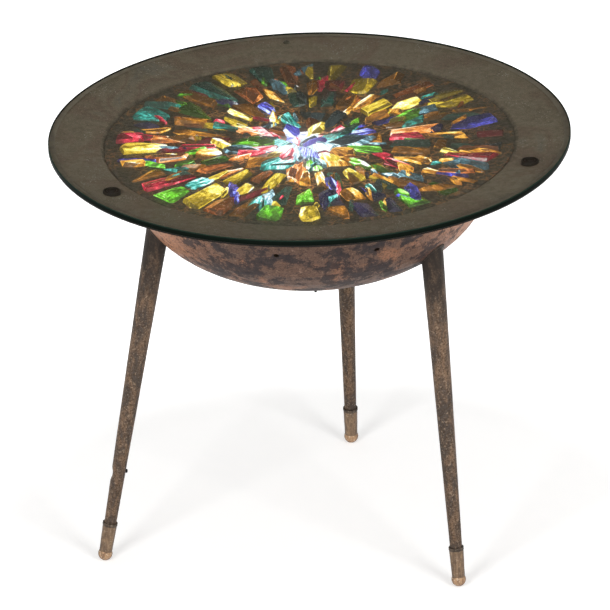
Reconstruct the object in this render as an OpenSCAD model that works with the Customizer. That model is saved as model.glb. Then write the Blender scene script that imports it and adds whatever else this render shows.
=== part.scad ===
// Round side table: a clear glass disc on a spun copper-brown bowl with a wide brim, three tapered
// tube legs with brass ferrules, and a lamp in the bowl under a cast panel of coloured glass chips.
// Millimetres. The origin is on the floor, on the bowl's axis. +Z is up, and one leg is at the back, on +Y.

/* [Glass top] */
// Height of the glass top's upper face above the floor
table_h = 471; // [440:1:560]
// Diameter of the glass top
glass_d = 560; // [560:1:640]
// Thickness of the glass top
glass_t = 6; // [4:0.5:12]
// Ground chamfer along the glass edge
glass_arris = 0.8; // [0.3:0.1:1.5]

/* [Bumpers under the glass] */
// Diameter of a front bumper's head
bumper_d = 19; // [10:0.5:20]
// Diameter of the recess in a front bumper's head
bumper_recess_d = 6; // [2:0.5:8]
// Depth of that recess
bumper_recess = 0.8; // [0.2:0.1:0.9]
// Diameter of a front bumper's stem
bumper_stem_d = 5; // [3:0.5:8]
// Length of a bumper's stem below the brim
bumper_stem_l = 3; // [1:0.5:6]
// Distance of the front bumpers' axes in from the glass edge
bumper_inset = 32.4; // [20:0.1:38]
// Direction of the left front bumper, in degrees from +X
bumper_left_at = 224; // [215:1:235]
// Direction of the right front bumper
bumper_right_at = 352.5; // [340:0.5:358]
// Diameter of the small rear bumper's head
rear_bumper_d = 7; // [5:0.5:14]
// Diameter of its stem
rear_stem_d = 3; // [2:0.5:4]
// Distance of the rear bumper's axis in from the glass edge
rear_bumper_inset = 18; // [12:0.5:35]
// Direction of the rear bumper
rear_bumper_at = 107; // [95:1:120]

/* [Bowl] */
// How far the glass reaches past the brim's outer edge
glass_overhang = 1.5; // [0:0.5:6]
// Rise of the brim's upper face from the bowl's mouth to its outer edge
brim_rise = 6; // [4:0.5:7]
// Gap between the brim's outer edge and the glass
brim_gap = 0.5; // [0.3:0.1:1.5]
// Radius of the bend between the bowl's wall and the brim, on the upper face
mouth_bend = 8; // [4:0.5:10]
// Thickness of the spun sheet
sheet = 1.5; // [1:0.1:2]
// Half the width of the ellipse that the bowl's section follows
bowl_a = 194.2; // [188:0.2:200]
// Half the height of that ellipse
bowl_b = 110.4; // [106:0.1:116]
// Depth of the ellipse's centre below the mouth
bowl_centre_drop = 31.5; // [28:0.5:37]
// Slope of the straight wall above the curved bottom, from the horizontal
wall_angle = 59.5; // [56:0.5:62]
// Diameter of the flat pressed in the bowl's bottom
bottom_flat_d = 30; // [24:1:40]
// Diameter of a vent hole
vent_d = 6; // [3:0.5:8]
// Depth of the vent holes below the mouth
vent_drop = 42; // [38:1:50]
// Angle from a leg round to the first vent of its bay
vent_first = 61; // [40:1:70]
// Angle between the two vents of a bay
vent_pitch = 31; // [15:1:36]

/* [Legs] */
// Distance of a leg's axis from the bowl's axis at the aiming height
leg_top_r = 168.6; // [160:0.2:172]
// Depth of the aiming height below the glass top's upper face
leg_aim_drop = 60; // [50:1:70]
// Where the left front foot stands, along X from the bowl's axis
foot_left_x = -216.7; // [-225:0.1:-185]
// Where it stands along Y
foot_left_y = -110.1; // [-125:0.1:-100]
// Where the right front foot stands, along X
foot_right_x = 175.2; // [165:0.1:205]
// Where it stands along Y
foot_right_y = -115.3; // [-125:0.1:-100]
// Where the back foot stands, along X
foot_back_x = -8.8; // [-20:0.1:10]
// Where it stands along Y
foot_back_y = 217.7; // [205:0.1:235]
// Diameter of a leg tube at its lower end
leg_end_d = 12.5; // [11:0.1:12.7]
// Widening of a leg tube's diameter for each 100 mm of length
leg_taper = 3.3; // [2:0.1:4]
// Wall of a leg tube
leg_wall = 1.5; // [1:0.1:2.5]
// Distance from a foot's ball centre up to the small screw on the left leg
leg_screw_at = 100; // [70:1:300]
// Diameter of that screw's head
leg_screw_head_d = 4.4; // [3.6:0.1:5]
// Height of that screw's head
leg_screw_head = 2.2; // [1:0.1:2.5]
// Diameter of that screw's shank
leg_screw_d = 2.5; // [2:0.1:3]

/* [Ferrules] */
// Diameter of the ball end
ball_d = 15.8; // [15:0.1:18]
// Height of the flat worn on the ball end
ball_flat = 0.4; // [0.2:0.1:1]
// Distance from the ball's centre to the top of the lip
ferrule_l = 38; // [30:0.5:48]
// Outer diameter where the sleeve meets the ball
ferrule_neck_d = 13.9; // [13.7:0.1:14.5]
// Outer diameter of the sleeve under the lip
ferrule_sleeve_d = 15.8; // [15.4:0.1:16.2]
// Diameter of the lip
ferrule_lip_d = 16.8; // [16.4:0.1:18.5]
// Height of the lip
ferrule_lip = 3.2; // [2:0.1:5]
// Distance from the ball's centre to the bottom of the socket
socket_floor = 10; // [8.5:0.5:16]
// Clearance between a leg and its socket, on the radius
socket_clear = 0.05; // [0.02:0.01:0.1]

/* [Cast panel] */
// Depth of the cast bed's upper face below the mouth
bed_drop = 1.5; // [1.5:0.5:8]
// Thickness of the cast bed
bed_t = 9; // [8:0.5:16]
// Gap between the panel's edge and the bowl's wall, on the radius
panel_clear = 1; // [0.5:0.1:3]
// Width of bed left outside the outermost chips, at the bed's underside
bed_margin = 1.5; // [1:0.5:6]
// Least height of a chip above the bed
chip_rise_min = 1; // [0.5:0.1:2]
// Greatest height of a chip above the bed
chip_rise_max = 5; // [3:0.1:5.5]
// Largest share of its cell that a chip fills, from the cell's middle to a corner
chip_fill_max = 0.95; // [0.8:0.01:0.96]
// Smallest share
chip_fill_min = 0.66; // [0.4:0.01:0.75]
// Number that picks one layout of chips
chip_seed = 24; // [1:1:50]
// Thickness of the ledge that carries the panel
ledge_t = 2; // [1.5:0.1:3]
// Width of the ledge's upper face
ledge_w = 15; // [8:0.5:20]

/* [Lamp] */
// Diameter of the bulb's globe
bulb_d = 55; // [45:1:60]
// Length of the bulb from its contact to the top of the globe
bulb_l = 88; // [84:1:94]
// Diameter of the bulb's screw cap
bulb_cap_d = 26.6; // [26:0.1:27]
// Length of the bulb's screw cap
bulb_cap_l = 25; // [22:0.5:27]
// Wall of the bulb's glass
bulb_wall = 0.8; // [0.5:0.1:1.2]
// Clearance between bulb cap and screw shell, on the radius
cap_clear = 0.3; // [0.2:0.05:0.5]
// Wall of the lampholder's screw shell
shell_wall = 0.5; // [0.4:0.1:1]
// Length of the screw shell
shell_l = 25; // [20:0.5:28]
// Thickness of the lampholder's contact leaf
contact_t = 0.8; // [0.4:0.1:1.5]
// Length of the contact leaf
contact_l = 18; // [10:0.5:24]
// Width of the contact leaf
contact_w = 5; // [3:0.5:8]
// Outer diameter of the lampholder
holder_d = 38; // [36:0.5:44]
// Wall of the lampholder's skirt
skirt_wall = 3; // [2:0.1:3.5]
// Length of the skirt above the lampholder's base
skirt_l = 32; // [28:0.5:36]
// Height of the lampholder's metal base
base_h = 12; // [8:0.5:14]
// Wall of that base
base_wall = 1.5; // [1:0.1:2]
// Height of the porcelain insert
insert_h = 12; // [10:0.5:14]
// Outer diameter of the hollow nipple that fixes the lampholder
nipple_d = 10; // [8:0.5:12]
// Bore of the nipple
nipple_bore = 8; // [6:0.5:8]
// Length of nipple that shows below the lower nut
nipple_below = 3; // [1:0.5:5]
// Clearance between nipple and the holes that it passes, on the radius
nipple_clear = 0.1; // [0.05:0.05:0.4]
// Width across the flats of a lock nut
locknut_af = 14; // [14:0.5:18]
// Thickness of a lock nut
locknut_t = 4; // [3:0.5:6]
// Diameter of a nipple washer
washer_d = 20; // [16:0.5:22]
// Thickness of a nipple washer
washer_t = 1.2; // [0.8:0.1:2]
// Bore of the cord bushing
cord_bore = 6.5; // [4:0.1:7]
// Length of the cord bushing inside the nipple
bushing_l = 12; // [6:0.5:18]
// Thickness of the cord bushing's flange
bushing_flange = 1.5; // [1:0.1:3]
// Distance of the earth screw from the bowl's axis
earth_r = 122; // [100:0.5:130]
// Direction of the earth screw
earth_at = 283; // [275:1:290]
// Diameter of the earth screw
earth_d = 3; // [2.5:0.1:4]
// Length of earth screw that shows under the bowl
earth_below = 1.5; // [1:0.5:5]
// Diameter of the earth screw's head, inside the bowl
earth_head_d = 6; // [5:0.1:8]
// Height of that head
earth_head = 2.4; // [1.5:0.1:4]

/* [Hidden] */
$fn = 96;
// Length of a cutter that passes right through its part
through = 50;
// How far a shorter cutter stands out at each end, or one solid runs into the next
past = 1;
// Gap where a part rests on another inside a socket
seat_gap = 0.02;
// Clearance of plain drilled holes, on the radius
hole_clear = 0.1;

// Heights, from the glass top down
glass_z = table_h - glass_t;
brim_edge_z = glass_z - brim_gap;
mouth_z = brim_edge_z - brim_rise;
mouth_under_z = mouth_z - sheet;
brim_d = glass_d - 2 * glass_overhang;
bumper_r = glass_d / 2 - bumper_inset;
rear_bumper_r = glass_d / 2 - rear_bumper_inset;
function brim_at(r) = mouth_z + brim_rise * (r - mouth_r) / (brim_d / 2 - mouth_r);
// Points along the arc that rounds a corner between two others
bend_steps = 10;
function bend(before, corner, after, radius) =
    let (u = (before - corner) / norm(before - corner), w = (after - corner) / norm(after - corner),
         half = acos(u * w) / 2, centre = corner + (u + w) / norm(u + w) * radius / sin(half),
         start = corner + u * radius / tan(half) - centre, turn = 180 - 2 * half,
         way = u[0] * w[1] - u[1] * w[0] > 0 ? -1 : 1, first = atan2(start[1], start[0]))
    [for (i = [0:bend_steps]) let (angle = first + way * turn * i / bend_steps)
        centre + radius * [cos(angle), sin(angle)]];
bowl_z = mouth_z - bowl_centre_drop;

// The bowl's section: an ellipse whose upper part gives way to a straight wall that is tangent to it
function turn_at(a, b) = atan(b / (a * tan(wall_angle)));
function ellipse_r(a, t) = a * cos(t);
function ellipse_z(b, t) = bowl_z - b * sin(t);
function wall_r(a, b, z) =
    ellipse_r(a, turn_at(a, b)) + (z - ellipse_z(b, turn_at(a, b))) / tan(wall_angle);
function flat_turn(a) = acos(bottom_flat_d / 2 / a);
curve_steps = 14;
function curve(a, b) = [
    for (i = [0:curve_steps])
        let (t = flat_turn(a) + (turn_at(a, b) - flat_turn(a)) * i / curve_steps)
        [ellipse_r(a, t), ellipse_z(b, t)]
];
inner_a = bowl_a - sheet;
inner_b = bowl_b - sheet;
mouth_r = wall_r(inner_a, inner_b, mouth_z);
flat_under_z = ellipse_z(bowl_b, flat_turn(bowl_a));
flat_z = flat_under_z + sheet;

// Vents, drilled square to the wall
vent_z = mouth_z - vent_drop;
vent_wall_r = wall_r(bowl_a, bowl_b, vent_z);
vents_in_bay = 2;

// Earth screw, drilled square to the curved bottom
earth_turn = acos(earth_r / bowl_a);
earth_z = ellipse_z(bowl_b, earth_turn);
earth_tilt = atan2(earth_r / pow(bowl_a, 2), sin(earth_turn) / bowl_b);

// Leg axes run from the ball centres to the aiming points under the bowl
leg_places = [210, 330, 90];
ball_z = ball_d / 2 - ball_flat;
aim_z = table_h - leg_aim_drop;
feet = [[foot_left_x, foot_left_y], [foot_right_x, foot_right_y], [foot_back_x, foot_back_y]];
function foot_at(i) = concat(feet[i], ball_z);
function aim_at(i) = [leg_top_r * cos(leg_places[i]), leg_top_r * sin(leg_places[i]), aim_z];
function leg_run(i) = aim_at(i) - foot_at(i);
leg_past_aim = 20;
leg_start = socket_floor + seat_gap;
function leg_r(s) = leg_end_d / 2 + leg_taper / 2 * (s - leg_start) / 100;
function socket_r(s) = leg_r(s) + socket_clear;

// Panel and ledge
bed_z = mouth_z - bed_drop;
bed_under_z = bed_z - bed_t;
function panel_r(z) = wall_r(inner_a, inner_b, z) - panel_clear;
ledge_under_z = bed_under_z - ledge_t;
ledge_r = wall_r(inner_a, inner_b, bed_under_z) - ledge_w;
chips_r = panel_r(bed_under_z) - bed_margin;

// Chips lie in sectors that point at the middle, in three zones. An entry is the zone's inner edge as a share
// of the chips' outer radius, its number of sectors, and the fewest and most chips in a sector.
zones = [[0.03, 7, 1, 1], [0.15, 16, 1, 2], [0.4, 38, 2, 3]];
most_chips = 3;
// An edge between zones is bent by a slow wave, whose height is this share of the edge's radius, and by a
// quick one of half that. An entry is the number of waves and the angle by which they turn from zone to zone.
wave_share = 0.09;
slow_wave = [3, 77];
quick_wave = [8, 131];
// Least width of bed between a chip and the edge of its zone
zone_gap = 0.6;
// How far a sector's sides and the cuts between its chips stray, as shares of the sector's and chip's pitch
side_stray = 0.27;
cut_stray = 0.2;
cut_slant = 0.14;
function wave(w, z, angle) = sin(w[0] * angle + w[1] * z);
function zone_edge(z, angle) =
    z == 0 ? zones[0][0] * chips_r :
    z == len(zones) ? chips_r :
    chips_r * zones[z][0] * (1 + wave_share * (wave(slow_wave, z, angle) + wave(quick_wave, z, angle) / 2));
// Random shares, one row for a sector: two for its first side, one for its number of chips, then for each
// chip its cut, the cut's slant, four corners, rise and colour
sector_values = 3;
chip_values = 8;
row_values = sector_values + most_chips * chip_values;
function draws(z) = rands(0, 1, row_values * zones[z][1], chip_seed * 100 + z);
function draw(z, d, i, n) = d[row_values * (i % zones[z][1]) + n];
function chip_draw(z, d, i, j, n) = draw(z, d, i, sector_values + chip_values * j + n);
function signed(share) = 2 * share - 1;
function chip_count(z, d, i) =
    zones[z][2] + (draw(z, d, i, 2) < 0.5 ? 0 : zones[z][3] - zones[z][2]);
function side_angle(z, d, i, share) =
    360 / zones[z][1] * (i + side_stray * signed((1 - share) * draw(z, d, i, 0) + share * draw(z, d, i, 1)));
function cut_share(z, d, i, j, n, side) =
    j == 0 ? 0 :
    j == n ? 1 :
    (j + cut_stray * signed(chip_draw(z, d, i, j, 0))
        + side * cut_slant * signed(chip_draw(z, d, i, j, 1))) / n;
function corner(z, d, i, share) =
    let (angle = side_angle(z, d, i, share),
         inner = zone_edge(z, angle) + zone_gap, outer = zone_edge(z + 1, angle) - zone_gap)
    (inner + (outer - inner) * share) * [cos(angle), sin(angle)];
function cell(z, d, i, j, n) = [
    corner(z, d, i, cut_share(z, d, i, j, n, -1)), corner(z, d, i + 1, cut_share(z, d, i, j, n, 1)),
    corner(z, d, i + 1, cut_share(z, d, i, j + 1, n, 1)), corner(z, d, i, cut_share(z, d, i, j + 1, n, -1))
];
// Below 1, so that most corners are nearer to the largest share
fill_power = 0.6;
function fill_share(z, d, i, j, c) =
    chip_fill_min + (chip_fill_max - chip_fill_min) * pow(chip_draw(z, d, i, j, 2 + c), fill_power);
function chip_outline(z, d, i, j, n) =
    let (c = cell(z, d, i, j, n), middle = (c[0] + c[1] + c[2] + c[3]) / 4)
    [for (m = [0:3]) middle + fill_share(z, d, i, j, m) * (c[m] - middle)];
function chip_rise(z, d, i, j) =
    chip_rise_min + (chip_rise_max - chip_rise_min) * chip_draw(z, d, i, j, 6);
// Shares of the chips that each colour takes, added up. The middle has more cool and clear chips.
colour_names = ["amber", "yellow", "orange", "red", "leaf", "teal", "blue", "clear"];
colour_ends = [0.32, 0.46, 0.57, 0.67, 0.77, 0.87, 0.96, 1];
core_zones = 2;
core_ends = [0.08, 0.14, 0.18, 0.36, 0.44, 0.6, 0.8, 1];
function chip_colour(z, d, i, j) =
    len([for (e = z < core_zones ? core_ends : colour_ends) if (e < chip_draw(z, d, i, j, 7)) 1]);
// Every chip as [outline, rise, colour's number]
all_chips = [
    for (z = [0:len(zones) - 1]) let (d = draws(z))
        for (i = [0:zones[z][1] - 1]) let (n = chip_count(z, d, i))
            for (j = [0:n - 1])
                [chip_outline(z, d, i, j, n), chip_rise(z, d, i, j), chip_colour(z, d, i, j)]
];

// Lampholder, stacked on the bowl's flat
base_z = flat_z + washer_t + locknut_t;
insert_z = base_z + base_wall;
shell_z = insert_z + insert_h;
skirt_z = base_z + base_h;
shell_r = bulb_cap_d / 2 + cap_clear;
insert_r = holder_d / 2 - base_wall - hole_clear;
bulb_z = shell_z + contact_t + cap_clear;
tip_h = 3;
tip_r = 5;
cap_z = bulb_z + tip_h;
neck_z = cap_z + bulb_cap_l;
globe_z = bulb_z + bulb_l - bulb_d / 2;
cap_sheet = 0.6;
neck_r = bulb_cap_d / 2 - cap_sheet;
nipple_top_z = insert_z;
nut_sides = 6;
flange_past = 0.5;
nipple_foot_z = flat_under_z - washer_t - locknut_t - nipple_below;

module tube(outer_r, inner_r, h) {
    difference() {
        cylinder(h = h, r = outer_r);
        translate([0, 0, -past]) cylinder(h = h + 2 * past, r = inner_r);
    }
}

// Stands its children on the axis of leg i, with the ball's centre at their origin
module on_leg(i) {
    run = leg_run(i);
    translate(foot_at(i)) rotate([0, acos(run[2] / norm(run)), atan2(run[1], run[0])]) children();
}

module above_floor() {
    difference() {
        children();
        translate([-glass_d, -glass_d, -through]) cube([2 * glass_d, 2 * glass_d, through]);
    }
}

// Points its children's -Z out through the bowl at a vent
module at_vent(angle) {
    rotate([0, 0, angle]) translate([vent_wall_r, 0, vent_z]) rotate([0, -wall_angle, 0]) children();
}

// Points its children's -Z out through the bowl at the earth screw
module at_earth_screw() {
    rotate([0, 0, earth_at]) translate([earth_r, 0, earth_z]) rotate([0, -earth_tilt, 0]) children();
}

module at_front_bumpers() {
    for (angle = [bumper_left_at, bumper_right_at])
        rotate([0, 0, angle]) translate([bumper_r, 0, 0]) children();
}

module at_rear_bumper() {
    rotate([0, 0, rear_bumper_at]) translate([rear_bumper_r, 0, 0]) children();
}

module glass_top() {
    color([0.62, 0.72, 0.68, 0.35])
    rotate_extrude() polygon([
        [0, glass_z], [glass_d / 2 - glass_arris, glass_z], [glass_d / 2, glass_z + glass_arris],
        [glass_d / 2, table_h - glass_arris], [glass_d / 2 - glass_arris, table_h], [0, table_h]
    ]);
}

// A bumper whose axis is at radius r. Its head's underside follows the brim.
module bumper(r, head_d, stem_d) {
    seat_z = brim_at(r);
    difference() {
        translate([0, 0, mouth_z]) cylinder(h = glass_z - mouth_z, d = head_d);
        translate([-r, 0, 0]) rotate_extrude() polygon([
            [mouth_r, mouth_z - past], [brim_d / 2, mouth_z - past],
            [brim_d / 2, brim_edge_z], [mouth_r, mouth_z]
        ]);
    }
    translate([0, 0, seat_z - sheet - bumper_stem_l])
        cylinder(h = sheet + bumper_stem_l + (glass_z - seat_z) / 2, d = stem_d);
}

module glass_bumpers() {
    color([0.16, 0.09, 0.06])
    at_front_bumpers() difference() {
        bumper(bumper_r, bumper_d, bumper_stem_d);
        translate([0, 0, glass_z - bumper_recess]) cylinder(h = bumper_recess + past, d = bumper_recess_d);
    }
}

module rear_bumper() {
    color([0.2, 0.18, 0.14]) at_rear_bumper() bumper(rear_bumper_r, rear_bumper_d, rear_stem_d);
}

// The bowl filled to its outer face, which the leg tops are cut to
module bowl_outside() {
    rotate_extrude() polygon(concat(
        [[0, flat_under_z]], curve(bowl_a, bowl_b),
        [[wall_r(bowl_a, bowl_b, mouth_under_z), mouth_under_z], [0, mouth_under_z]]
    ));
}

module bowl_sheet() {
    outer = curve(bowl_a, bowl_b);
    inner = curve(inner_a, inner_b);
    under_corner = [wall_r(bowl_a, bowl_b, mouth_under_z), mouth_under_z];
    under_edge = [brim_d / 2, brim_edge_z - sheet];
    edge = [brim_d / 2, brim_edge_z];
    rotate_extrude() polygon(concat(
        [[0, flat_under_z]], outer,
        bend(outer[curve_steps], under_corner, under_edge, mouth_bend - sheet), [under_edge, edge],
        bend(edge, [mouth_r, mouth_z], inner[curve_steps], mouth_bend),
        [for (i = [curve_steps:-1:0]) inner[i]], [[0, flat_z]]
    ));
}

module bowl() {
    color([0.45, 0.33, 0.26])
    difference() {
        bowl_sheet();
        for (place = leg_places, i = [0:vents_in_bay - 1])
            at_vent(place + vent_first + vent_pitch * i)
                translate([0, 0, -through / 2]) cylinder(h = through, d = vent_d);
        translate([0, 0, mouth_z - through / 2]) {
            at_front_bumpers() cylinder(h = through, d = bumper_stem_d);
            at_rear_bumper() cylinder(h = through, d = rear_stem_d);
        }
        translate([0, 0, flat_z - through / 2]) cylinder(h = through, r = nipple_d / 2 + nipple_clear);
        at_earth_screw() translate([0, 0, -through / 2]) cylinder(h = through, r = earth_d / 2 + hole_clear);
    }
}

module panel_ledge() {
    color([0.2, 0.18, 0.17])
    rotate_extrude() polygon([
        [ledge_r, ledge_under_z], [wall_r(inner_a, inner_b, ledge_under_z), ledge_under_z],
        [wall_r(inner_a, inner_b, bed_under_z), bed_under_z], [ledge_r, bed_under_z]
    ]);
}

module panel_bed() {
    color([0.14, 0.12, 0.11])
    difference() {
        rotate_extrude() polygon([
            [0, bed_under_z], [panel_r(bed_under_z), bed_under_z], [panel_r(bed_z), bed_z], [0, bed_z]
        ]);
        for (chip = all_chips)
            translate([0, 0, bed_under_z - past]) linear_extrude(bed_t + 2 * past) polygon(chip[0]);
    }
}

module chips(colour) {
    for (chip = all_chips) if (colour_names[chip[2]] == colour)
        translate([0, 0, bed_under_z]) linear_extrude(bed_t + chip[1]) polygon(chip[0]);
}

module leg(i) {
    top = norm(leg_run(i)) + leg_past_aim;
    color([0.33, 0.28, 0.25])
    difference() {
        on_leg(i) difference() {
            translate([0, 0, leg_start])
                cylinder(h = top - leg_start, r1 = leg_r(leg_start), r2 = leg_r(top));
            translate([0, 0, leg_start])
                cylinder(h = top - leg_start, r1 = leg_r(leg_start) - leg_wall, r2 = leg_r(top) - leg_wall);
            if (i == 0) leg_screw_place() cylinder(h = leg_screw_d * 2, r = leg_screw_d / 2 + hole_clear);
        }
        bowl_outside();
    }
}

// On the left leg's inner side, with the screw's head end along +Z
module leg_screw_place() {
    translate([leg_r(leg_screw_at) - leg_screw_d, 0, leg_screw_at]) rotate([0, 90, 0]) children();
}

module leg_screw() {
    color([0.1, 0.09, 0.09])
    on_leg(0) leg_screw_place() {
        cylinder(h = leg_screw_d + leg_screw_head / 2, d = leg_screw_d);
        translate([0, 0, leg_screw_d + hole_clear]) cylinder(h = leg_screw_head, d = leg_screw_head_d);
    }
}

module ferrule(i) {
    sleeve_top = ferrule_l - ferrule_lip;
    color([0.5, 0.38, 0.24])
    above_floor() on_leg(i) difference() {
        union() {
            sphere(d = ball_d);
            cylinder(h = sleeve_top, d1 = ferrule_neck_d, d2 = ferrule_sleeve_d);
            translate([0, 0, sleeve_top]) cylinder(h = ferrule_lip, d = ferrule_lip_d);
        }
        translate([0, 0, socket_floor])
            cylinder(h = through, r1 = socket_r(socket_floor), r2 = socket_r(socket_floor + through));
    }
}

module nipple() {
    color([0.7, 0.6, 0.35])
    translate([0, 0, nipple_foot_z]) tube(nipple_d / 2, nipple_bore / 2, nipple_top_z - nipple_foot_z);
}

module nipple_washers() {
    color([0.6, 0.6, 0.6])
    for (z = [flat_under_z - washer_t, flat_z])
        translate([0, 0, z]) tube(washer_d / 2, nipple_d / 2 + nipple_clear, washer_t);
}

module nipple_locknuts() {
    color([0.65, 0.55, 0.3])
    for (z = [flat_under_z - washer_t - locknut_t, flat_z + washer_t])
        translate([0, 0, z]) difference() {
            cylinder(h = locknut_t, d = locknut_af / cos(180 / nut_sides), $fn = nut_sides);
            translate([0, 0, -past]) cylinder(h = locknut_t + 2 * past, d = nipple_d);
        }
}

module cord_bushing() {
    color([0.08, 0.08, 0.08])
    difference() {
        union() {
            translate([0, 0, nipple_foot_z - bushing_flange])
                cylinder(h = bushing_flange, r = nipple_d / 2 + flange_past);
            translate([0, 0, nipple_foot_z - bushing_flange / 2])
                cylinder(h = bushing_l + bushing_flange / 2, d = nipple_bore);
        }
        translate([0, 0, nipple_foot_z - through / 2]) cylinder(h = through * 2, d = cord_bore);
    }
}

module lampholder_base() {
    color([0.7, 0.58, 0.32])
    rotate_extrude() polygon([
        [nipple_d / 2, base_z], [holder_d / 2, base_z], [holder_d / 2, base_z + base_h],
        [holder_d / 2 - base_wall, base_z + base_h], [holder_d / 2 - base_wall, insert_z],
        [nipple_d / 2, insert_z]
    ]);
}

module lampholder_insert() {
    color([0.92, 0.9, 0.86])
    translate([0, 0, insert_z]) tube(insert_r, cord_bore / 2, insert_h);
}

module lampholder_contact() {
    color([0.8, 0.7, 0.4])
    translate([-contact_l / 2, -contact_w / 2, shell_z]) cube([contact_l, contact_w, contact_t]);
}

module lampholder_shell() {
    color([0.75, 0.65, 0.38])
    translate([0, 0, shell_z]) tube(shell_r + shell_wall, shell_r, shell_l);
}

module lampholder_skirt() {
    color([0.06, 0.05, 0.05])
    translate([0, 0, skirt_z]) difference() {
        cylinder(h = skirt_l, d = holder_d);
        translate([0, 0, shell_z - skirt_z]) cylinder(h = through, d = holder_d - 2 * skirt_wall);
        translate([0, 0, -past]) cylinder(h = shell_z - skirt_z + 2 * past, r = insert_r + hole_clear);
    }
}

module bulb_cap() {
    color([0.75, 0.72, 0.66]) {
        translate([0, 0, cap_z]) cylinder(h = bulb_cap_l, d = bulb_cap_d);
        translate([0, 0, bulb_z]) cylinder(h = tip_h + past, r1 = tip_r / 2, r2 = tip_r);
    }
}

module bulb_globe() {
    neck_turn = acos(neck_r / (bulb_d / 2));
    arc_steps = 20;
    module outline(inset, foot_z) {
        r = bulb_d / 2 - inset;
        polygon(concat(
            [[0, foot_z], [neck_r - inset, foot_z]],
            [for (i = [0:arc_steps]) let (t = -neck_turn + (90 + neck_turn) * i / arc_steps)
                [r * cos(t), globe_z + r * sin(t)]]
        ));
    }
    color([1, 0.93, 0.78])
    difference() {
        rotate_extrude() outline(0, neck_z);
        rotate_extrude() outline(bulb_wall, neck_z - past);
    }
}

module earth_screw() {
    color([0.12, 0.11, 0.1])
    at_earth_screw() {
        translate([0, 0, -earth_below]) cylinder(h = earth_below + sheet + earth_head / 2, d = earth_d);
        translate([0, 0, sheet + hole_clear]) cylinder(h = earth_head, d = earth_head_d);
    }
}

glass_top();
glass_bumpers();
rear_bumper();
bowl();
panel_ledge();
panel_bed();
color([0.85, 0.52, 0.1]) chips("amber");  // chips_amber
color([0.92, 0.78, 0.22]) chips("yellow");  // chips_yellow
color([0.75, 0.35, 0.12]) chips("orange");  // chips_orange
color([0.75, 0.1, 0.14]) chips("red");  // chips_red
color([0.25, 0.62, 0.12]) chips("leaf");  // chips_leaf
color([0.12, 0.42, 0.36]) chips("teal");  // chips_teal
color([0.18, 0.2, 0.6]) chips("blue");  // chips_blue
color([0.7, 0.85, 0.88]) chips("clear");  // chips_clear
leg(0);  // leg_front_left
leg(1);  // leg_front_right
leg(2);  // leg_back
ferrule(0);  // ferrule_front_left
ferrule(1);  // ferrule_front_right
ferrule(2);  // ferrule_back
leg_screw();
nipple();
nipple_washers();
nipple_locknuts();
cord_bushing();
lampholder_base();
lampholder_insert();
lampholder_contact();
lampholder_shell();
lampholder_skirt();
bulb_globe();
bulb_cap();
earth_screw();
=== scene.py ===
"""Dresses the lit glass table: detailed pieces and finishes round its CAD frame, with floor, lights and camera.

Lengths are in metres and colours are linear. The origin is on the floor under the middle of the bowl, and the
back leg is on the +Y side.
"""

import math
import random

import bmesh
import bpy
from bpy.props import FloatProperty, FloatVectorProperty, IntProperty, PointerProperty
from mathutils import Color, Matrix, Vector, noise


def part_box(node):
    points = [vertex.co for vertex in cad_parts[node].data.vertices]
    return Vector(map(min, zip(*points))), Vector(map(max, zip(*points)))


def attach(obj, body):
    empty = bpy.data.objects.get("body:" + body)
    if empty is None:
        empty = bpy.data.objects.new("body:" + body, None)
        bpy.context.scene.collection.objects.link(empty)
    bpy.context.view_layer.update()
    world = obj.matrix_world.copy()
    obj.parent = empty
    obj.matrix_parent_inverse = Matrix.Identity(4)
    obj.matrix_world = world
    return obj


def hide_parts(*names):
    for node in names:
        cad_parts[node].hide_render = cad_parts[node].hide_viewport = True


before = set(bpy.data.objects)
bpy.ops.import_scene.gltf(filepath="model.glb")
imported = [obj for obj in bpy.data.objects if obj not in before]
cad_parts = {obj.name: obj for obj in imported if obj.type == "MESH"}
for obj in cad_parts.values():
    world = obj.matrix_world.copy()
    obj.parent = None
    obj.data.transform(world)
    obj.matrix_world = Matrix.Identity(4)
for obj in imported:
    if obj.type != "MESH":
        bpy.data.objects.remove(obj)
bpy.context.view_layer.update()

bl_info = {
    "name": "Lit glass table",
    "version": (1, 0, 0),
    "blender": (4, 5, 0),
    "location": "3D View > Sidebar > Table",
    "description": "Makes the pieces, finishes and studio of a side table with a lit panel of glass chips",
    "category": "Object",
}

MM = 0.001

# ---------------------------------------------------------------- forms shared with the CAD

# The bowl's outer face is an ellipse whose upper part gives way to a straight wall that is tangent to it
BOWL_A, BOWL_B, BOWL_Z = 194.2 * MM, 110.4 * MM, 427 * MM
WALL_SLOPE = math.radians(59.5)
SHEET = 1.5 * MM
# The brim rises a little from the bowl's mouth to its outer edge
EDGE_R, EDGE_Z = 278.5 * MM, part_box("bowl")[1].z
MOUTH_Z = EDGE_Z - 6 * MM
BED_Z = MOUTH_Z - 1.5 * MM
BED_UNDER_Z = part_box("panel_bed")[0].z
FLAT_UNDER_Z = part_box("bowl")[0].z

# Leg axes run from the ball centres to aiming points under the bowl
LEG_NAMES = ["front_left", "front_right", "back"]
LEG_PLACES = [math.radians(degrees) for degrees in (210, 330, 90)]
LEG_AIM_R, LEG_AIM_Z = 168.6 * MM, 411 * MM
FEET = [(-216.7 * MM, -110.1 * MM), (175.2 * MM, -115.3 * MM), (-8.8 * MM, 217.7 * MM)]
BALL_R, BALL_Z = 7.9 * MM, 7.5 * MM
LEG_START = 10.02 * MM
LEG_END_R = 6.25 * MM
LEG_WIDENING = 0.0165
LEG_SCREW_AT = 100 * MM
LEG_TOP_SEARCH = 300 * MM, 480 * MM

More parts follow.
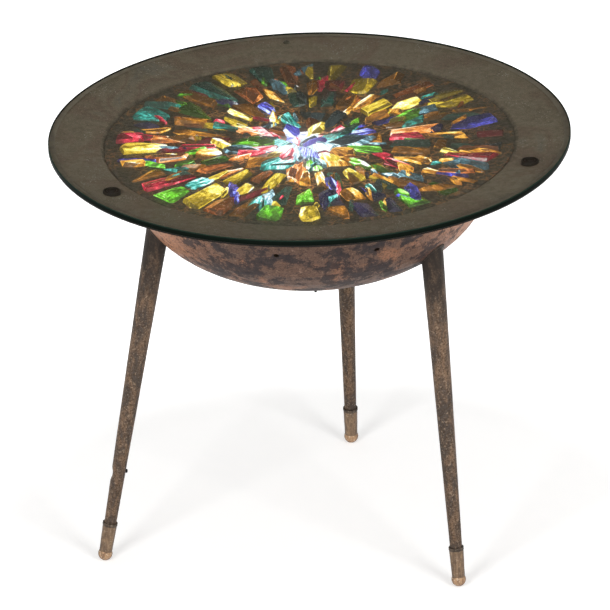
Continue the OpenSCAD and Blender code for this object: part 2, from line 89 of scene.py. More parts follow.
BUMPER_R, BUMPER_ANGLES, BUMPER_HEAD_R = 247.6 * MM, (224, 352.5), 9.5 * MM
STUD_R, STUD_ANGLE, STUD_HEAD_R = 262 * MM, 107, 3.5 * MM
EARTH_R, EARTH_ANGLE = 122 * MM, math.radians(283)
# Distance from the bowl's axis to the middle of the weld round a leg's top
SCORCH_R = 158 * MM

# The photograph's sideways direction on the floor
SIDEWAYS_X, SIDEWAYS_Y = 0.978, 0.21


def bowl_r(z, inset=0.0):
    """Radius of the bowl's outer face at a height, or of a face that lies inset within it."""
    a, b = BOWL_A - inset, BOWL_B - inset
    turn = math.atan(b / (a * math.tan(WALL_SLOPE)))
    tangent_z = BOWL_Z - b * math.sin(turn)
    if z > tangent_z:
        return a * math.cos(turn) + (z - tangent_z) / math.tan(WALL_SLOPE)
    return a * math.sqrt(max(0.0, 1 - ((BOWL_Z - z) / b) ** 2))


def brim_z(r):
    """Height of the brim's upper face at a radius."""
    mouth_r = bowl_r(MOUTH_Z, SHEET)
    return MOUTH_Z + (EDGE_Z - MOUTH_Z) * (r - mouth_r) / (EDGE_R - mouth_r)


def bowl_normal(point):
    """Direction square to the bowl's outer face at a point on it."""
    step = 0.1 * MM
    lean = (bowl_r(point.z + step) - bowl_r(point.z - step)) / (2 * step)
    flat = Vector((point.x, point.y, 0)).normalized()
    return Vector((flat.x, flat.y, -lean)).normalized()


def leg_frame(number):
    """A leg's own axes: its ball's centre at the origin and its length along +Z."""
    angle = LEG_PLACES[number]
    foot = Vector((*FEET[number], BALL_Z))
    run = Vector((LEG_AIM_R * math.cos(angle), LEG_AIM_R * math.sin(angle), LEG_AIM_Z)) - foot
    tilt = Matrix.Rotation(math.acos(run.z / run.length), 4, "Y")
    return Matrix.Translation(foot) @ Matrix.Rotation(math.atan2(run.y, run.x), 4, "Z") @ tilt


def leg_r(s):
    """A leg's radius at a length along it."""
    return LEG_END_R + LEG_WIDENING * (s - LEG_START)


def at_angle(radius, degrees):
    """A place on a circle round the bowl's axis, with its X axis pointing outwards."""
    angle = math.radians(degrees)
    place = Matrix.Translation((radius * math.cos(angle), radius * math.sin(angle), 0))
    return place @ Matrix.Rotation(angle, 4, "Z")


def smooth_step(value, start, end):
    """Rises from 0 at start to 1 at end."""
    share = min(1.0, max(0.0, (value - start) / (end - start)))
    return share * share * (3 - 2 * share)


# ---------------------------------------------------------------- meshes


def lathe(profile, segments=64, place=None, ripple=None):
    """Points, faces and each face's band of a turned form. The profile is a list of (radius, height).

    An end at radius 0 closes the form. ripple(angle, radius, height) may return another radius.
    """
    place = place or Matrix.Identity(4)
    points, rings, faces = [], [], []
    for radius, height in profile:
        if radius < 1e-9:
            rings.append([len(points)])
            points.append(place @ Vector((0, 0, height)))
            continue
        rings.append(list(range(len(points), len(points) + segments)))
        for i in range(segments):
            angle = math.tau * i / segments
            r = ripple(angle, radius, height) if ripple else radius
            points.append(place @ Vector((r * math.cos(angle), r * math.sin(angle), height)))
    bands = []
    for band, (low, high) in enumerate(zip(rings, rings[1:])):
        for i in range(segments):
            j = (i + 1) % segments
            ring = [low[i % len(low)], low[j % len(low)], high[j % len(high)], high[i % len(high)]]
            face = list(dict.fromkeys(ring))
            if len(face) > 2:
                faces.append(face)
                bands.append(band)
    return points, faces, bands


def mm(*places, out=0.0, up=0.0):
    """A (radius, height) profile given in millimetres, moved out and up by metres."""
    return [(out + r * MM, up + h * MM) for r, h in places]


def arc(centre, radius, start, end, steps):
    """A (radius, height) profile along part of a circle. Angles are in degrees, and 0 points outwards."""
    turns = [math.radians(start + (end - start) * i / steps) for i in range(steps + 1)]
    return [(centre[0] + radius * math.cos(t), centre[1] + radius * math.sin(t)) for t in turns]


def skin(rows, around, first=0, closed=False):
    """Faces between rows of points that each run round once. When closed, the last row meets the first."""
    faces = []
    for row in range(rows if closed else rows - 1):
        low, high = first + row * around, first + (row + 1) % rows * around
        for i in range(around):
            j = (i + 1) % around
            faces.append([low + i, low + j, high + j, high + i])
    return faces


def join(*forms):
    """Several (points, faces, bands) as one."""
    points, faces, bands = [], [], []
    for form_points, form_faces, form_bands in forms:
        start = len(points)
        points += form_points
        faces += [[start + i for i in face] for face in form_faces]
        bands += form_bands
    return points, faces, bands


def placed(name, mesh, body, replaces):
    """Links a mesh as a new object that rides on a body and may stand for a CAD node."""
    made = bpy.data.objects.new(name, mesh)
    bpy.context.scene.collection.objects.link(made)
    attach(made, body)
    if replaces:
        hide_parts(replaces)


def piece(name, form, body, materials, replaces=None, sharp=50, finish_of=None):
    """Makes a placed mesh of a form. finish_of(band) gives the number of a face's material."""
    points, faces, bands = form
    mesh = bpy.data.meshes.new(name)
    mesh.from_pydata([tuple(p) for p in points], [], faces)
    for material in materials:
        mesh.materials.append(material)
    if finish_of:
        for face, band in zip(mesh.polygons, bands):
            face.material_index = finish_of(band)
    tidy = bmesh.new()
    tidy.from_mesh(mesh)
    bmesh.ops.recalc_face_normals(tidy, faces=tidy.faces)
    tidy.to_mesh(mesh)
    tidy.free()
    mesh.shade_smooth()
    mesh.set_sharp_from_angle(angle=math.radians(sharp))
    placed(name, mesh, body, replaces)


def paint(node, material):
    """Gives a CAD node that stays as it is its finish."""
    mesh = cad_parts[node].data
    mesh.materials.clear()
    mesh.materials.append(material)
    for face in mesh.polygons:
        face.material_index = 0


# ---------------------------------------------------------------- shaders


class Wire:
    """A socket in a node tree that arithmetic can be written with."""

    def __init__(self, tree, socket=None):
        self.tree, self.socket = tree, socket

    def node(self, kind, settings=None, values=None, out=0):
        """Adds a node: its settings are set first, then its sockets get values or links."""
        made = self.tree.nodes.new(kind)
        for name, value in (settings or {}).items():
            if name == "stops":
                ramp = made.color_ramp
                while len(ramp.elements) < len(value):
                    ramp.elements.new(1.0)
                for element, (position, colour) in zip(ramp.elements, value):
                    element.position, element.color = position, (*colour, 1)
            else:
                setattr(made, name, value)
        for key, value in (values or {}).items():
            if isinstance(value, Wire):
                self.tree.links.new(value.socket, made.inputs[key])
            else:
                made.inputs[key].default_value = value
        return Wire(self.tree, made.outputs[out]) if len(made.outputs) else made

    def math(self, operation, *values):
        return self.node("ShaderNodeMath", {"operation": operation}, dict(enumerate(values)))

    def __add__(self, other):
        return self.math("ADD", self, other)

    def __sub__(self, other):
        return self.math("SUBTRACT", self, other)

    def __rsub__(self, other):
        return self.math("SUBTRACT", other, self)

    def __mul__(self, other):
        return self.math("MULTIPLY", self, other)

    def __truediv__(self, other):
        return self.math("DIVIDE", self, other)

    __radd__, __rmul__ = __add__, __mul__

    def step(self, start, end, low=0.0, high=1.0):
        """Turns smoothly from low at start to high at end."""
        sides = {"Value": self, "From Min": start, "From Max": end, "To Min": low, "To Max": high}
        return self.node("ShaderNodeMapRange", {"interpolation_type": "SMOOTHSTEP"}, sides)

    def ramp(self, *stops):
        """A colour for each value, from (position, colour) stops."""
        return self.node("ShaderNodeValToRGB", {"stops": stops}, {0: self})

    def mix(self, first, second):
        """The first colour where this is 0 and the second where it is 1."""
        first, second = ((*c, 1) if isinstance(c, tuple) else c for c in (first, second))
        return self.node("ShaderNodeMix", {"data_type": "RGBA"}, {0: self, 6: first, 7: second}, out=2)


class Finish(Wire):
    """A new material, whose nodes are added through it."""

    def __init__(self, name):
        self.material = bpy.data.materials.new(name)
        self.material.use_nodes = True
        super().__init__(self.material.node_tree)
        self.tree.nodes.clear()
        self.place = self.node("ShaderNodeTexCoord", out="Object")

    def axes(self):
        """The place's three coordinates."""
        return [self.node("ShaderNodeSeparateXYZ", values={0: self.place}, out=i) for i in range(3)]

    def vector(self, x, y, z):
        return self.node("ShaderNodeCombineXYZ", values={0: x, 1: y, 2: z})

    def length(self, x, y):
        return self.math("SQRT", x * x + y * y)

    def stretched(self, *shares):
        """The place with its coordinates multiplied, for patterns that are longer one way."""
        return self.node("ShaderNodeVectorMath", {"operation": "MULTIPLY"}, {0: self.place, 1: shares})

    def shifted(self, by, reach):
        """The place moved by a colour's values, at most by reach metres."""
        sides = {0: by, 1: (2 * reach,) * 3, 2: (-reach,) * 3}
        shift = self.node("ShaderNodeVectorMath", {"operation": "MULTIPLY_ADD"}, sides)
        return self.node("ShaderNodeVectorMath", {"operation": "ADD"}, {0: self.place, 1: shift})

    def noise(self, scale, detail=4.0, rough=0.55, swirl=0.0, at=None, out_colour=False):
        values = {"Vector": at or self.place, "Scale": scale, "Detail": detail}
        values |= {"Roughness": rough, "Distortion": swirl}
        return self.node("ShaderNodeTexNoise", values=values, out=1 if out_colour else 0)

    def cells(self, scale, feature="F1", at=None):
        values = {"Vector": at or self.place, "Scale": scale}
        return self.node("ShaderNodeTexVoronoi", {"feature": feature}, values)

    def bump(self, height, depth, strength=1.0):
        """A normal from a height between 0 and 1, where 1 is depth metres high."""
        return self.node("ShaderNodeBump", values={"Height": height, "Distance": depth, "Strength": strength})

    def shader(self, **sockets):
        """A Principled shader, whose sockets have short names here."""
        names = {
            "base": "Base Color", "metal": "Metallic", "rough": "Roughness", "ior": "IOR", "normal": "Normal",
            "shine": "Specular IOR Level", "through": "Transmission Weight", "coat": "Coat Weight",
            "coat_rough": "Coat Roughness", "glow": "Emission Color", "glow_strength": "Emission Strength",
        }
        values = {}
        for short, value in sockets.items():
            values[names[short]] = (*value, 1) if isinstance(value, tuple) else value
        return self.node("ShaderNodeBsdfPrincipled", values=values)

    def done(self, surface):
        """Ends the material with this surface and returns it."""
        self.node("ShaderNodeOutputMaterial", values={"Surface": surface})
        return self.material

    def plain(self, **sockets):
        """Ends the material with one Principled shader and returns it."""
        return self.done(self.shader(**sockets))

    def blend(self, share, first, second):
        """The first shader where share is 0 and the second where it is 1."""
        return self.node("ShaderNodeMixShader", values={0: share, 1: first, 2: second})


def finish(name, make, *settings):
    """The material of that name, made on first use by make(finish, *settings)."""
    settings = [tuple(s) if isinstance(s, Color) else s for s in settings]
    return bpy.data.materials.get(name) or make(Finish(name), *settings)


def shade(colour, share):
    """A colour with its light multiplied."""
    return tuple(min(1.0, share * c) for c in colour)


def lit_glass(f, tint):
    """Clear float glass that lets the lamps' light through to what lies under it."""
    shadow = path_share(f, "Is Shadow Ray")
    smear = f.noise(3.0, 3, swirl=0.6)
    body = f.shader(base=tint, rough=smear.step(0.45, 0.75, 0.0, 0.012), ior=1.5, through=1.0)
    clear = f.node("ShaderNodeBsdfTransparent", values={0: (0.93, 0.95, 0.94, 1)})
    return f.done(f.blend(shadow, body, clear))


def glass_edge(f, deep, light, low, high):
    """The ground edge of the glass: nearly black green, with a painted lighter green along its upper arris that
    stands in for light refracted in the glass.
    """
    z = f.axes()[2]
    grit = f.noise(900, 2)
    # Painted light: the edge turns lighter green towards its upper arris
    upper = z.step(low + 0.8 * (high - low), high)
    colour = (upper * grit.step(0.2, 0.8, 0.75, 1.1)).mix(deep, light)
    return f.plain(
        base=colour, rough=grit.step(0.3, 0.7, 0.3, 0.45), shine=0.008, normal=f.bump(grit, 0.05 * MM),
    )


def rubber(f, colour, sheen, shine):
    """Moulded rubber with a slight bloom."""
    bloom = f.noise(220, 5)
    return f.plain(
        base=bloom.step(0.35, 0.75).mix(colour, shade(colour, 1.6)), shine=shine,
        rough=bloom.step(0.3, 0.7, sheen, sheen + 0.2), normal=f.bump(f.noise(1500, 2), 0.03 * MM),
    )


def bowl_patina(f, brown, copper, slate, veil):
    """Spun steel with a copper-brown finish, slate-blue blotches round its middle, and a brown-grey brim."""
    x, y, z = f.axes()
    mottle = f.noise(150, 6, 0.72)
    fine = f.noise(520, 4, 0.65)
    # Copper shows at both sides and in spots, brown elsewhere
    sides = f.math("ABSOLUTE", x * SIDEWAYS_X + y * SIDEWAYS_Y)
    copper_share = sides.step(0.09, 0.165, 0.0, 0.9) + f.noise(24, 5, 0.6, 0.4).step(0.5, 0.66, 0.0, 0.55)
    copper_share *= mottle.step(0.25, 0.6, 0.6, 1.0)
    ground = copper_share.mix(brown, copper)
    # Painted shade: the wall is darker just under the brim's overhang
    ground = (z.step(0.425, 0.455) * 0.5).mix(ground, shade(brown, 0.75))
    ground = (mottle.step(0.5, 0.7) * 0.7).mix(ground, shade(brown, 0.3))
    ground = (fine.step(0.48, 0.6) * 0.7).mix(ground, shade(brown, 0.4))
    # Painted light: a paler mottled band round the bottom, where light from the floor falls
    low = z.step(0.322, 0.352, 1.0, 0.0)
    ground = (low * mottle.step(0.3, 0.6) * 0.65).mix(ground, (0.26, 0.19, 0.15))
    ground = (f.noise(300, 4).step(0.56, 0.66) * 0.45).mix(ground, (0.42, 0.26, 0.18))
    # Blotches keep to a band under the straight wall and break up into islands and freckles
    band = z.step(0.322, 0.345) * z.step(0.415, 0.446, 1.0, 0.0) * sides.step(0.12, 0.18, 1.0, 0.1)
    blotch = f.noise(36, 7, 0.7, 0.35) + (mottle - 0.5) * 0.36 + (fine - 0.5) * 0.24 + band * 0.15
    slate_share = blotch.step(0.61, 0.69)
    shell = (slate_share * fine.step(0.3, 0.7, 1.0, 0.6)).mix(ground, slate)
    # Heat from the welds has blackened the wall round the leg tops
    scorch = 0.0
    for place in LEG_PLACES:
        gap = f.length(x - SCORCH_R * math.cos(place), y - SCORCH_R * math.sin(place))
        scorch += gap.step(0.014, 0.04, 1.0, 0.0)
    shell = (scorch * mottle.step(0.25, 0.6, 0.45, 1.0) * 0.8).mix(shell, (0.022, 0.022, 0.028))
    # Inside, the wall is dull and painted dark as shade: near black below the panel, and above it the brim's
    # colour with darker mottles
    side = f.node("ShaderNodeNewGeometry", out="Normal")
    sides = {0: side, 1: f.vector(x, y, 0.0)}
    across = f.node("ShaderNodeVectorMath", {"operation": "DOT_PRODUCT"}, sides, out="Value")
    inside = across.step(-0.004, -0.001, 1.0, 0.0)
    above_panel = z.step(BED_Z - 3 * MM, MOUTH_Z)
    # Painted shade: darker mottles over the brim's colour on the wall above the panel
    dust = mottle.step(0.3, 0.7).mix(veil, shade(veil, 0.4))
    shell = inside.mix(shell, above_panel.mix((0.02, 0.016, 0.014), dust))
    # The brim's outer edge, which the glass overhangs, is painted black as shade under the glass
    up = f.node("ShaderNodeSeparateXYZ", values={0: side}, out=2)
    top = up.step(0.9, 0.98) * z.step(MOUTH_Z - 2 * MM, MOUTH_Z - 1 * MM)
    outer = f.length(x, y).step(EDGE_R - 1.7 * MM, EDGE_R - 0.3 * MM)
    shell = (outer * (1 - top)).mix(shell, (0.012, 0.01, 0.008))
    # The brim's upper face has pale specks and faint stains
    specks = f.cells(300).step(0.12, 0.26, 1.0, 0.0) * f.noise(26, 4).step(0.5, 0.62)
    stain = f.noise(11, 6, 0.62, 0.9).ramp(
        (0.3, shade(veil, 0.75)), (0.45, veil), (0.55, (0.14, 0.09, 0.066)), (0.6, veil),
        (0.72, (0.1, 0.1, 0.095)),
    )
    stain = (mottle.step(0.42, 0.62) * 0.55).mix(stain, shade(veil, 0.6))
    stain = (fine.step(0.5, 0.66) * 0.35).mix(stain, shade(veil, 1.6))
    # The brim is darker towards the front
    stain = y.step(-0.27, -0.05, 0.45, 0.0).mix(stain, shade(veil, 0.55))
    colour = top.mix(shell, (specks * 0.7).mix(stain, (0.5, 0.45, 0.38)))
    height = mottle * 0.5 + fine * 0.3 - slate_share * 0.25
    plain = (1 - inside) * (1 - top)
    return f.plain(
        base=colour, metal=(copper_share * 0.3 + 0.15) * (1 - slate_share * 0.6) * plain,
        rough=mottle.step(0.25, 0.75, 0.38, 0.6) + slate_share * 0.1, shine=0.15,
        normal=f.bump(height, 0.25 * MM, 0.8),
    )


def leg_patina(f, brown, grey, scorch_z):
    """Steel tube with a mottled brown-grey finish, blackened towards the weld."""
    z = f.axes()[2]
    long = f.stretched(1, 1, 0.35)
    mottle = f.noise(95, 6, 0.7, 0.4, at=long)
    fine = f.noise(480, 3, 0.6)
    pit = f.cells(330).step(0.05, 0.3, 1.0, 0.0)
    colour = mottle.step(0.36, 0.6).mix(brown, grey)
    colour = (fine.step(0.45, 0.62) * 0.75).mix(colour, shade(brown, 0.3))
    colour = (f.noise(430, 3).step(0.56, 0.68) * 0.6).mix(colour, (0.36, 0.26, 0.18))
    black = (z + f.noise(38, 4) * 0.07).step(scorch_z, scorch_z + 0.075)
    colour = (black * mottle.step(0.2, 0.6, 0.6, 1.0)).mix(colour, (0.03, 0.023, 0.019))
    return f.plain(
        base=colour, metal=0.25, rough=mottle.step(0.3, 0.7, 0.42, 0.62), shine=0.15,
        normal=f.bump(mottle * 0.4 + fine * 0.5 - pit * 0.4, 0.2 * MM, 0.8),
    )


def aged_metal(f, base, dark, light, metal, rough):
    """Plain metal with tarnish in soft clouds, worn lighter in places, and fine turning marks."""
    cloud = f.noise(130, 6, 0.65, 0.5)
    colour = cloud.step(0.38, 0.68).mix(base, dark)
    colour = (f.noise(60, 3).step(0.52, 0.7) * 0.7).mix(colour, light)
    marks = f.noise(400, 3, at=f.stretched(0.2, 0.2, 6.0))
    return f.plain(
        base=colour, metal=metal, rough=cloud.step(0.3, 0.7, rough, min(1.0, rough + 0.22)),
        normal=f.bump(cloud * 0.6 + marks * 0.4, 0.08 * MM, 0.7),
    )


def brass_painted_shade_glints(f, base, dark, light, painted_glints):
    """Old brass, streaked along the ferrule, with painted shade that darkens it towards its outline as seen,
    and painted bright glints in small spots.
    """
    streak = f.noise(420, 4, 0.6, at=f.stretched(1, 1, 0.1))
    cloud = f.noise(150, 5, 0.65)
    outline = f.node("ShaderNodeLayerWeight", values={"Blend": 0.4}, out="Facing")
    colour = streak.step(0.36, 0.62).mix(base, dark)
    colour = (cloud.step(0.45, 0.7) * 0.6).mix(colour, light)
    # Painted shade: darker where the face turns away from the eye
    colour = (outline.step(0.3, 0.8) * 0.8).mix(colour, shade(dark, 0.45))
    # Painted highlights: small bright glints
    colour = (f.noise(560, 3).step(0.58, 0.66) * painted_glints).mix(colour, (1.0, 0.86, 0.66))
    return f.plain(
        base=colour, metal=0.5, rough=cloud.step(0.3, 0.7, 0.34, 0.52), shine=0.3,
        normal=f.bump(cloud * 0.5 + streak * 0.5, 0.1 * MM, 0.8),
    )


def smooth_part(f, base, dark, rough, glow=None, strength=0.0):
    """A moulded, glazed or enamelled surface with faint unevenness."""
    cloud = f.noise(75, 4)
    sockets = {"glow": glow, "glow_strength": strength} if glow else {}
    return f.plain(
        base=cloud.step(0.35, 0.7).mix(base, dark), rough=cloud.step(0.3, 0.7, rough, rough + 0.12),
        normal=f.bump(f.noise(350, 3), 0.04 * MM, 0.6), coat=0.2, coat_rough=0.1, **sockets,
    )


# Reach of the painted bright spot over the lamp, and of the painted pink cast that it gives the chips
CORE_REACH, CAST_REACH = 36 * MM, 30 * MM


def from_glow(f, panel):
    """Distance from the painted bright spot over the lamp, along the panel."""
    x, y, _ = f.axes()
    return f.length(x - panel.glow_x, y - panel.glow_y)


def resin(f, panel):
    """Dark cast resin with painted light: threads in it glow, most of all near the lamp, and a pink-white
    bright spot glows over the lamp, in place of the lamp's light leaking through.
    """
    away = from_glow(f, panel)
    grain = f.noise(260, 6, 0.65)
    swirled = f.noise(70, 3, out_colour=True)
    thread = f.cells(85, "DISTANCE_TO_EDGE", at=f.shifted(swirled, 0.012)).step(0.0, 0.07, 1.0, 0.0)
    thread = thread * f.noise(30, 4, 0.6, 0.8).step(0.42, 0.6)
    # Painted light: the threads and the bright spot glow by emission
    warm = f.math("EXPONENT", away / -0.1) * thread
    core = f.math("EXPONENT", (away * away) / -(CORE_REACH ** 2))
    glow = (warm * 1.9).mix((0.0, 0.0, 0.0), grain.step(0.4, 0.6).mix((0.85, 0.24, 0.05), (1.0, 0.5, 0.16)))
    glow = (core * grain.step(0.2, 0.7, 0.4, 1.0)).mix(glow, (1.0, 0.74, 0.7))
    base = grain.step(0.35, 0.7).mix(tuple(panel.resin), shade(panel.resin, 0.45))
    return f.plain(
        base=base, rough=grain.step(0.3, 0.7, 0.42, 0.7), glow=glow, glow_strength=1.0,
        normal=f.bump(grain * 0.6 + f.noise(900, 3) * 0.4, 0.35 * MM),
    )


def chip_glass(f, panel, deep, bright, pale):
    """Slab glass with painted light standing in for the lamp's light from below: each facet's own glow, kept on
    the mesh, seen through ripples.
    """
    x, y, z = f.axes()
    around = f.math("ARCTAN2", y, x)
    out = f.length(x, y)
    streak = f.noise(1.0, 3, 0.5, 0.5, at=f.vector(around * 30, out * 60, z * 100))
    ripple = f.noise(1.0, 2, 0.5, 0.8, at=f.vector(around * 70, out * 210, z * 260))
    light = f.node("ShaderNodeAttribute", {"attribute_name": "facet_light"}, out="Fac")
    light = light * streak.step(0.3, 0.7, 0.45, 1.4) * ripple.step(0.3, 0.7, 0.7, 1.25)
    away = from_glow(f, panel)
    core = f.math("EXPONENT", (away * away) / -(CAST_REACH ** 2))
    dim = tuple(dust + 0.1 * c for dust, c in zip((0.05, 0.042, 0.032), deep))
    colour = (light * 0.5).ramp(
        (0.0, shade(deep, 0.02)), (0.1, shade(deep, 0.25)),
        (0.25, deep), (0.46, bright), (0.74, pale), (1.0, (1.0, 1.0, 1.0)),
    )
    # Painted light: a pink cast near the bright spot
    colour = (core * 0.14).mix(colour, (1.0, 0.8, 0.95))
    return f.plain(
        base=dim, rough=ripple.step(0.3, 0.8, 0.12, 0.35), ior=1.52, glow=colour, glow_strength=panel.glow,
        normal=f.bump(ripple * 0.6 + streak * 0.4, 0.25 * MM),
    )


# Each colour of glass: (deep, bright, pale) as a chip takes more painted light, how much painted light its dim
# and its lit chips take, and its share of the splinters
CHIPS = {
    "amber": (((0.42, 0.15, 0.012), (0.9, 0.46, 0.05), (1.0, 0.8, 0.3)), (0.2, 1.0), 0.2),
    "yellow": (((0.5, 0.33, 0.015), (0.95, 0.74, 0.1), (1.0, 0.92, 0.42)), (0.3, 1.05), 0.16),
    "orange": (((0.36, 0.09, 0.02), (0.8, 0.26, 0.04), (1.0, 0.62, 0.3)), (0.16, 0.9), 0.12),
    "red": (((0.32, 0.008, 0.03), (0.8, 0.025, 0.07), (1.0, 0.36, 0.42)), (0.14, 0.9), 0.09),
    "leaf": (((0.06, 0.2, 0.012), (0.16, 0.66, 0.02), (0.62, 0.95, 0.3)), (0.14, 1.0), 0.12),
    "teal": (((0.01, 0.11, 0.09), (0.03, 0.4, 0.34), (0.32, 0.9, 0.92)), (0.1, 0.85), 0.13),
    "blue": (((0.03, 0.03, 0.2), (0.1, 0.1, 0.75), (0.5, 0.66, 1.0)), (0.08, 0.85), 0.1),
    "clear": (((0.04, 0.1, 0.13), (0.25, 0.5, 0.62), (0.8, 0.96, 1.0)), (0.06, 0.8), 0.08),
}
# Rings of long chips round the bright spot: how far out they start and reach, their height, and their colours
PETALS = [
    (2 * MM, 40 * MM, 463.4 * MM, "clear blue clear red teal clear red clear blue"),
    (24 * MM, 52 * MM, 462.2 * MM,
     "amber clear teal yellow blue red leaf clear amber teal orange clear yellow"),
]

# ---------------------------------------------------------------- settings


def size(name, text, default, low=0.0, high=10.0):
    return FloatProperty(
        name=name, description=text, default=default, min=low, max=high, subtype="DISTANCE", unit="LENGTH"
    )


def colour(name, text, default):
    return FloatVectorProperty(
        name=name, description=text, default=default, size=3, min=0.0, max=1.0, subtype="COLOR"
    )


def amount(name, text, default, high, subtype="NONE"):
    return FloatProperty(name=name, description=text, default=default, min=0, max=high, subtype=subtype)


def quantity(name, text, default, low, high):
    return IntProperty(name=name, description=text, default=default, min=low, max=high)


class LIT_TABLE_glass(bpy.types.PropertyGroup):
    arris: size("Arris", "Width of the ground chamfer along the glass edge", 0.8 * MM, 0.1 * MM, 2 * MM)
    # The rim is a painted reflection: an opaque band under the glass along its edge, in the brim's colour,
    # stands in for the brim mirrored in the edge
    rim: size("Rim", "Width of the edge's band in the brim's colour", 7.5 * MM, 2 * MM, 20 * MM)
    painted_brim_reflection: colour("Rim colour", "Colour of the edge's band", (0.2, 0.165, 0.12))
    tint: colour("Tint", "Colour of the light that passes through the glass", (0.93, 0.965, 0.95))
    edge: colour("Edge", "Colour of the ground edge", (0.004, 0.007, 0.005))
    # Painted light: the lighter green along the glass edge's upper arris
    arris_painted_light: colour("Edge light", "Colour along the edge's upper arris", (0.022, 0.042, 0.031))
    rubber: colour("Bumper rubber", "Colour of the bumpers between brim and glass", (0.008, 0.004, 0.002))


class LIT_TABLE_bowl(bpy.types.PropertyGroup):
    brown: colour("Brown", "Main colour of the bowl", (0.15, 0.085, 0.06))
    copper: colour("Copper", "Colour where the finish shows copper", (0.5, 0.22, 0.11))
    slate: colour("Slate", "Colour of the blotches", (0.018, 0.018, 0.023))
    veil: colour("Brim", "Colour of the brim's upper face", (0.181, 0.14, 0.099))
    bead: size("Weld bead", "Radius of the weld beads round the leg tops", 1.4 * MM, 0.5 * MM, 3 * MM)


class LIT_TABLE_legs(bpy.types.PropertyGroup):
    brown: colour("Brown", "Main colour of the legs", (0.2, 0.125, 0.078))
    grey: colour("Grey", "Colour of the legs' grey clouds", (0.08, 0.063, 0.053))
    scorch_z: size("Scorch height", "Height above the floor at which the blackening starts", 0.33)
    unevenness: size("Unevenness", "How far the tubes' faces wander inwards", 0.25 * MM, 0.0, 1 * MM)
    dent: size("Dent", "Depth of the knock in the left leg", 1.5 * MM, 0.0, 3 * MM)


class LIT_TABLE_panel(bpy.types.PropertyGroup):
    resin: colour("Resin", "Colour of the cast resin", (0.085, 0.066, 0.044))
    # The painted bright spot is set a little off the axis, towards the front
    glow_x: size("Glow X", "Place of the bright spot along X", -7 * MM, -0.1, 0.1)
    glow_y: size("Glow Y", "Place of the bright spot along Y", -19 * MM, -0.1, 0.1)
    roughness: size("Roughness", "How far the resin's face sinks in places", 1.2 * MM, 0.0, 4 * MM)
    facets: quantity("Facets", "Most splits across a chip's top", 3, 1, 6)
    splinters: quantity("Splinters", "Number of thin chips across the others", 150, 0, 400)
    # The chips' light is painted: they glow by emission
    lit_share: amount("Lit share", "Share of the chips that take much light", 0.56, 1)
    glow: amount("Glow", "Strength of the light that the chips pass on", 1.65, 5)
    nick: size("Nick", "Width of the broken edges between facets", 0.45 * MM, 0.05 * MM, 1 * MM)


class LIT_TABLE_lamp(bpy.types.PropertyGroup):
    globe: colour("Bulb light", "Colour of the lit bulb", (1.0, 0.86, 0.64))
    strength: amount("Bulb strength", "Brightness of the lit bulb", 2.2, 20)
    pitch: size("Cap thread pitch", "Rise of the bulb's screw cap in one turn", 3.6 * MM, 1 * MM, 6 * MM)


class LIT_TABLE_stage(bpy.types.PropertyGroup):
    floor: colour("Floor", "Colour of the floor", (0.80, 0.80, 0.79))
    floor_lift: amount("Floor lift", "White that the camera sees on the floor besides its light", 0.42, 1)
    # Painted light: beyond this radius the floor is painted full white, hiding shadows there
    lift_r: size("Lift radius", "Distance from the axis at which the floor is lifted to full white", 0.52)
    ambient: amount("Ambient", "Light of the white surroundings", 0.42, 2)
    key: amount("Key light", "Power of the left light", 52, 1000, "POWER")
    fill: amount("Fill light", "Power of the right light", 48, 1000, "POWER")


GROUPS = {
    "lit_table_glass": LIT_TABLE_glass, "lit_table_bowl": LIT_TABLE_bowl, "lit_table_legs": LIT_TABLE_legs,
    "lit_table_panel": LIT_TABLE_panel, "lit_table_lamp": LIT_TABLE_lamp, "lit_table_stage": LIT_TABLE_stage,
}

# ---------------------------------------------------------------- operators


class LIT_TABLE_OT_glass_top(bpy.types.Operator):
    """Make the glass top with its ground edge"""

    bl_idname = "lit_table.glass_top"
    bl_label = "Glass top"

    def execute(self, context):
        glass = context.scene.lit_table_glass
        low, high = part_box("glass_top")
        edge_r, arris = high.x, glass.arris
        corner = 0.3 * arris
        profile = [(0, low.z), (edge_r - glass.rim, low.z), (edge_r - arris - corner, low.z)]
        profile += arc((edge_r - arris, low.z + corner), corner, -90, -45, 2)
        profile += arc((edge_r - corner, low.z + arris), corner, -45, 0, 2)
        profile += arc((edge_r - corner, high.z - arris), corner, 0, 45, 2)
        profile += arc((edge_r - arris, high.z - corner), corner, 45, 90, 2)
        profile += [(edge_r - arris - corner, high.z), (0, high.z)]
        # Painted reflection: the underside's outer band, as wide as the rim, takes the brim's colour
        finishes = {0: 0, 1: 2, len(profile) - 2: 0}
        clear = finish("top_glass_clear", lit_glass, glass.tint)
        edge = finish("top_glass_edge", glass_edge, glass.edge, glass.arris_painted_light, low.z, high.z)
        rim = finish("top_glass_painted_reflection", smooth_part, glass.painted_brim_reflection, shade(glass.painted_brim_reflection, 0.8), 0.6)
        piece(
            "glass_top_disc", lathe(profile, 288), "glass", [clear, edge, rim], "glass_top",
            sharp=20, finish_of=lambda band: finishes.get(band, 1),
        )
        return {"FINISHED"}


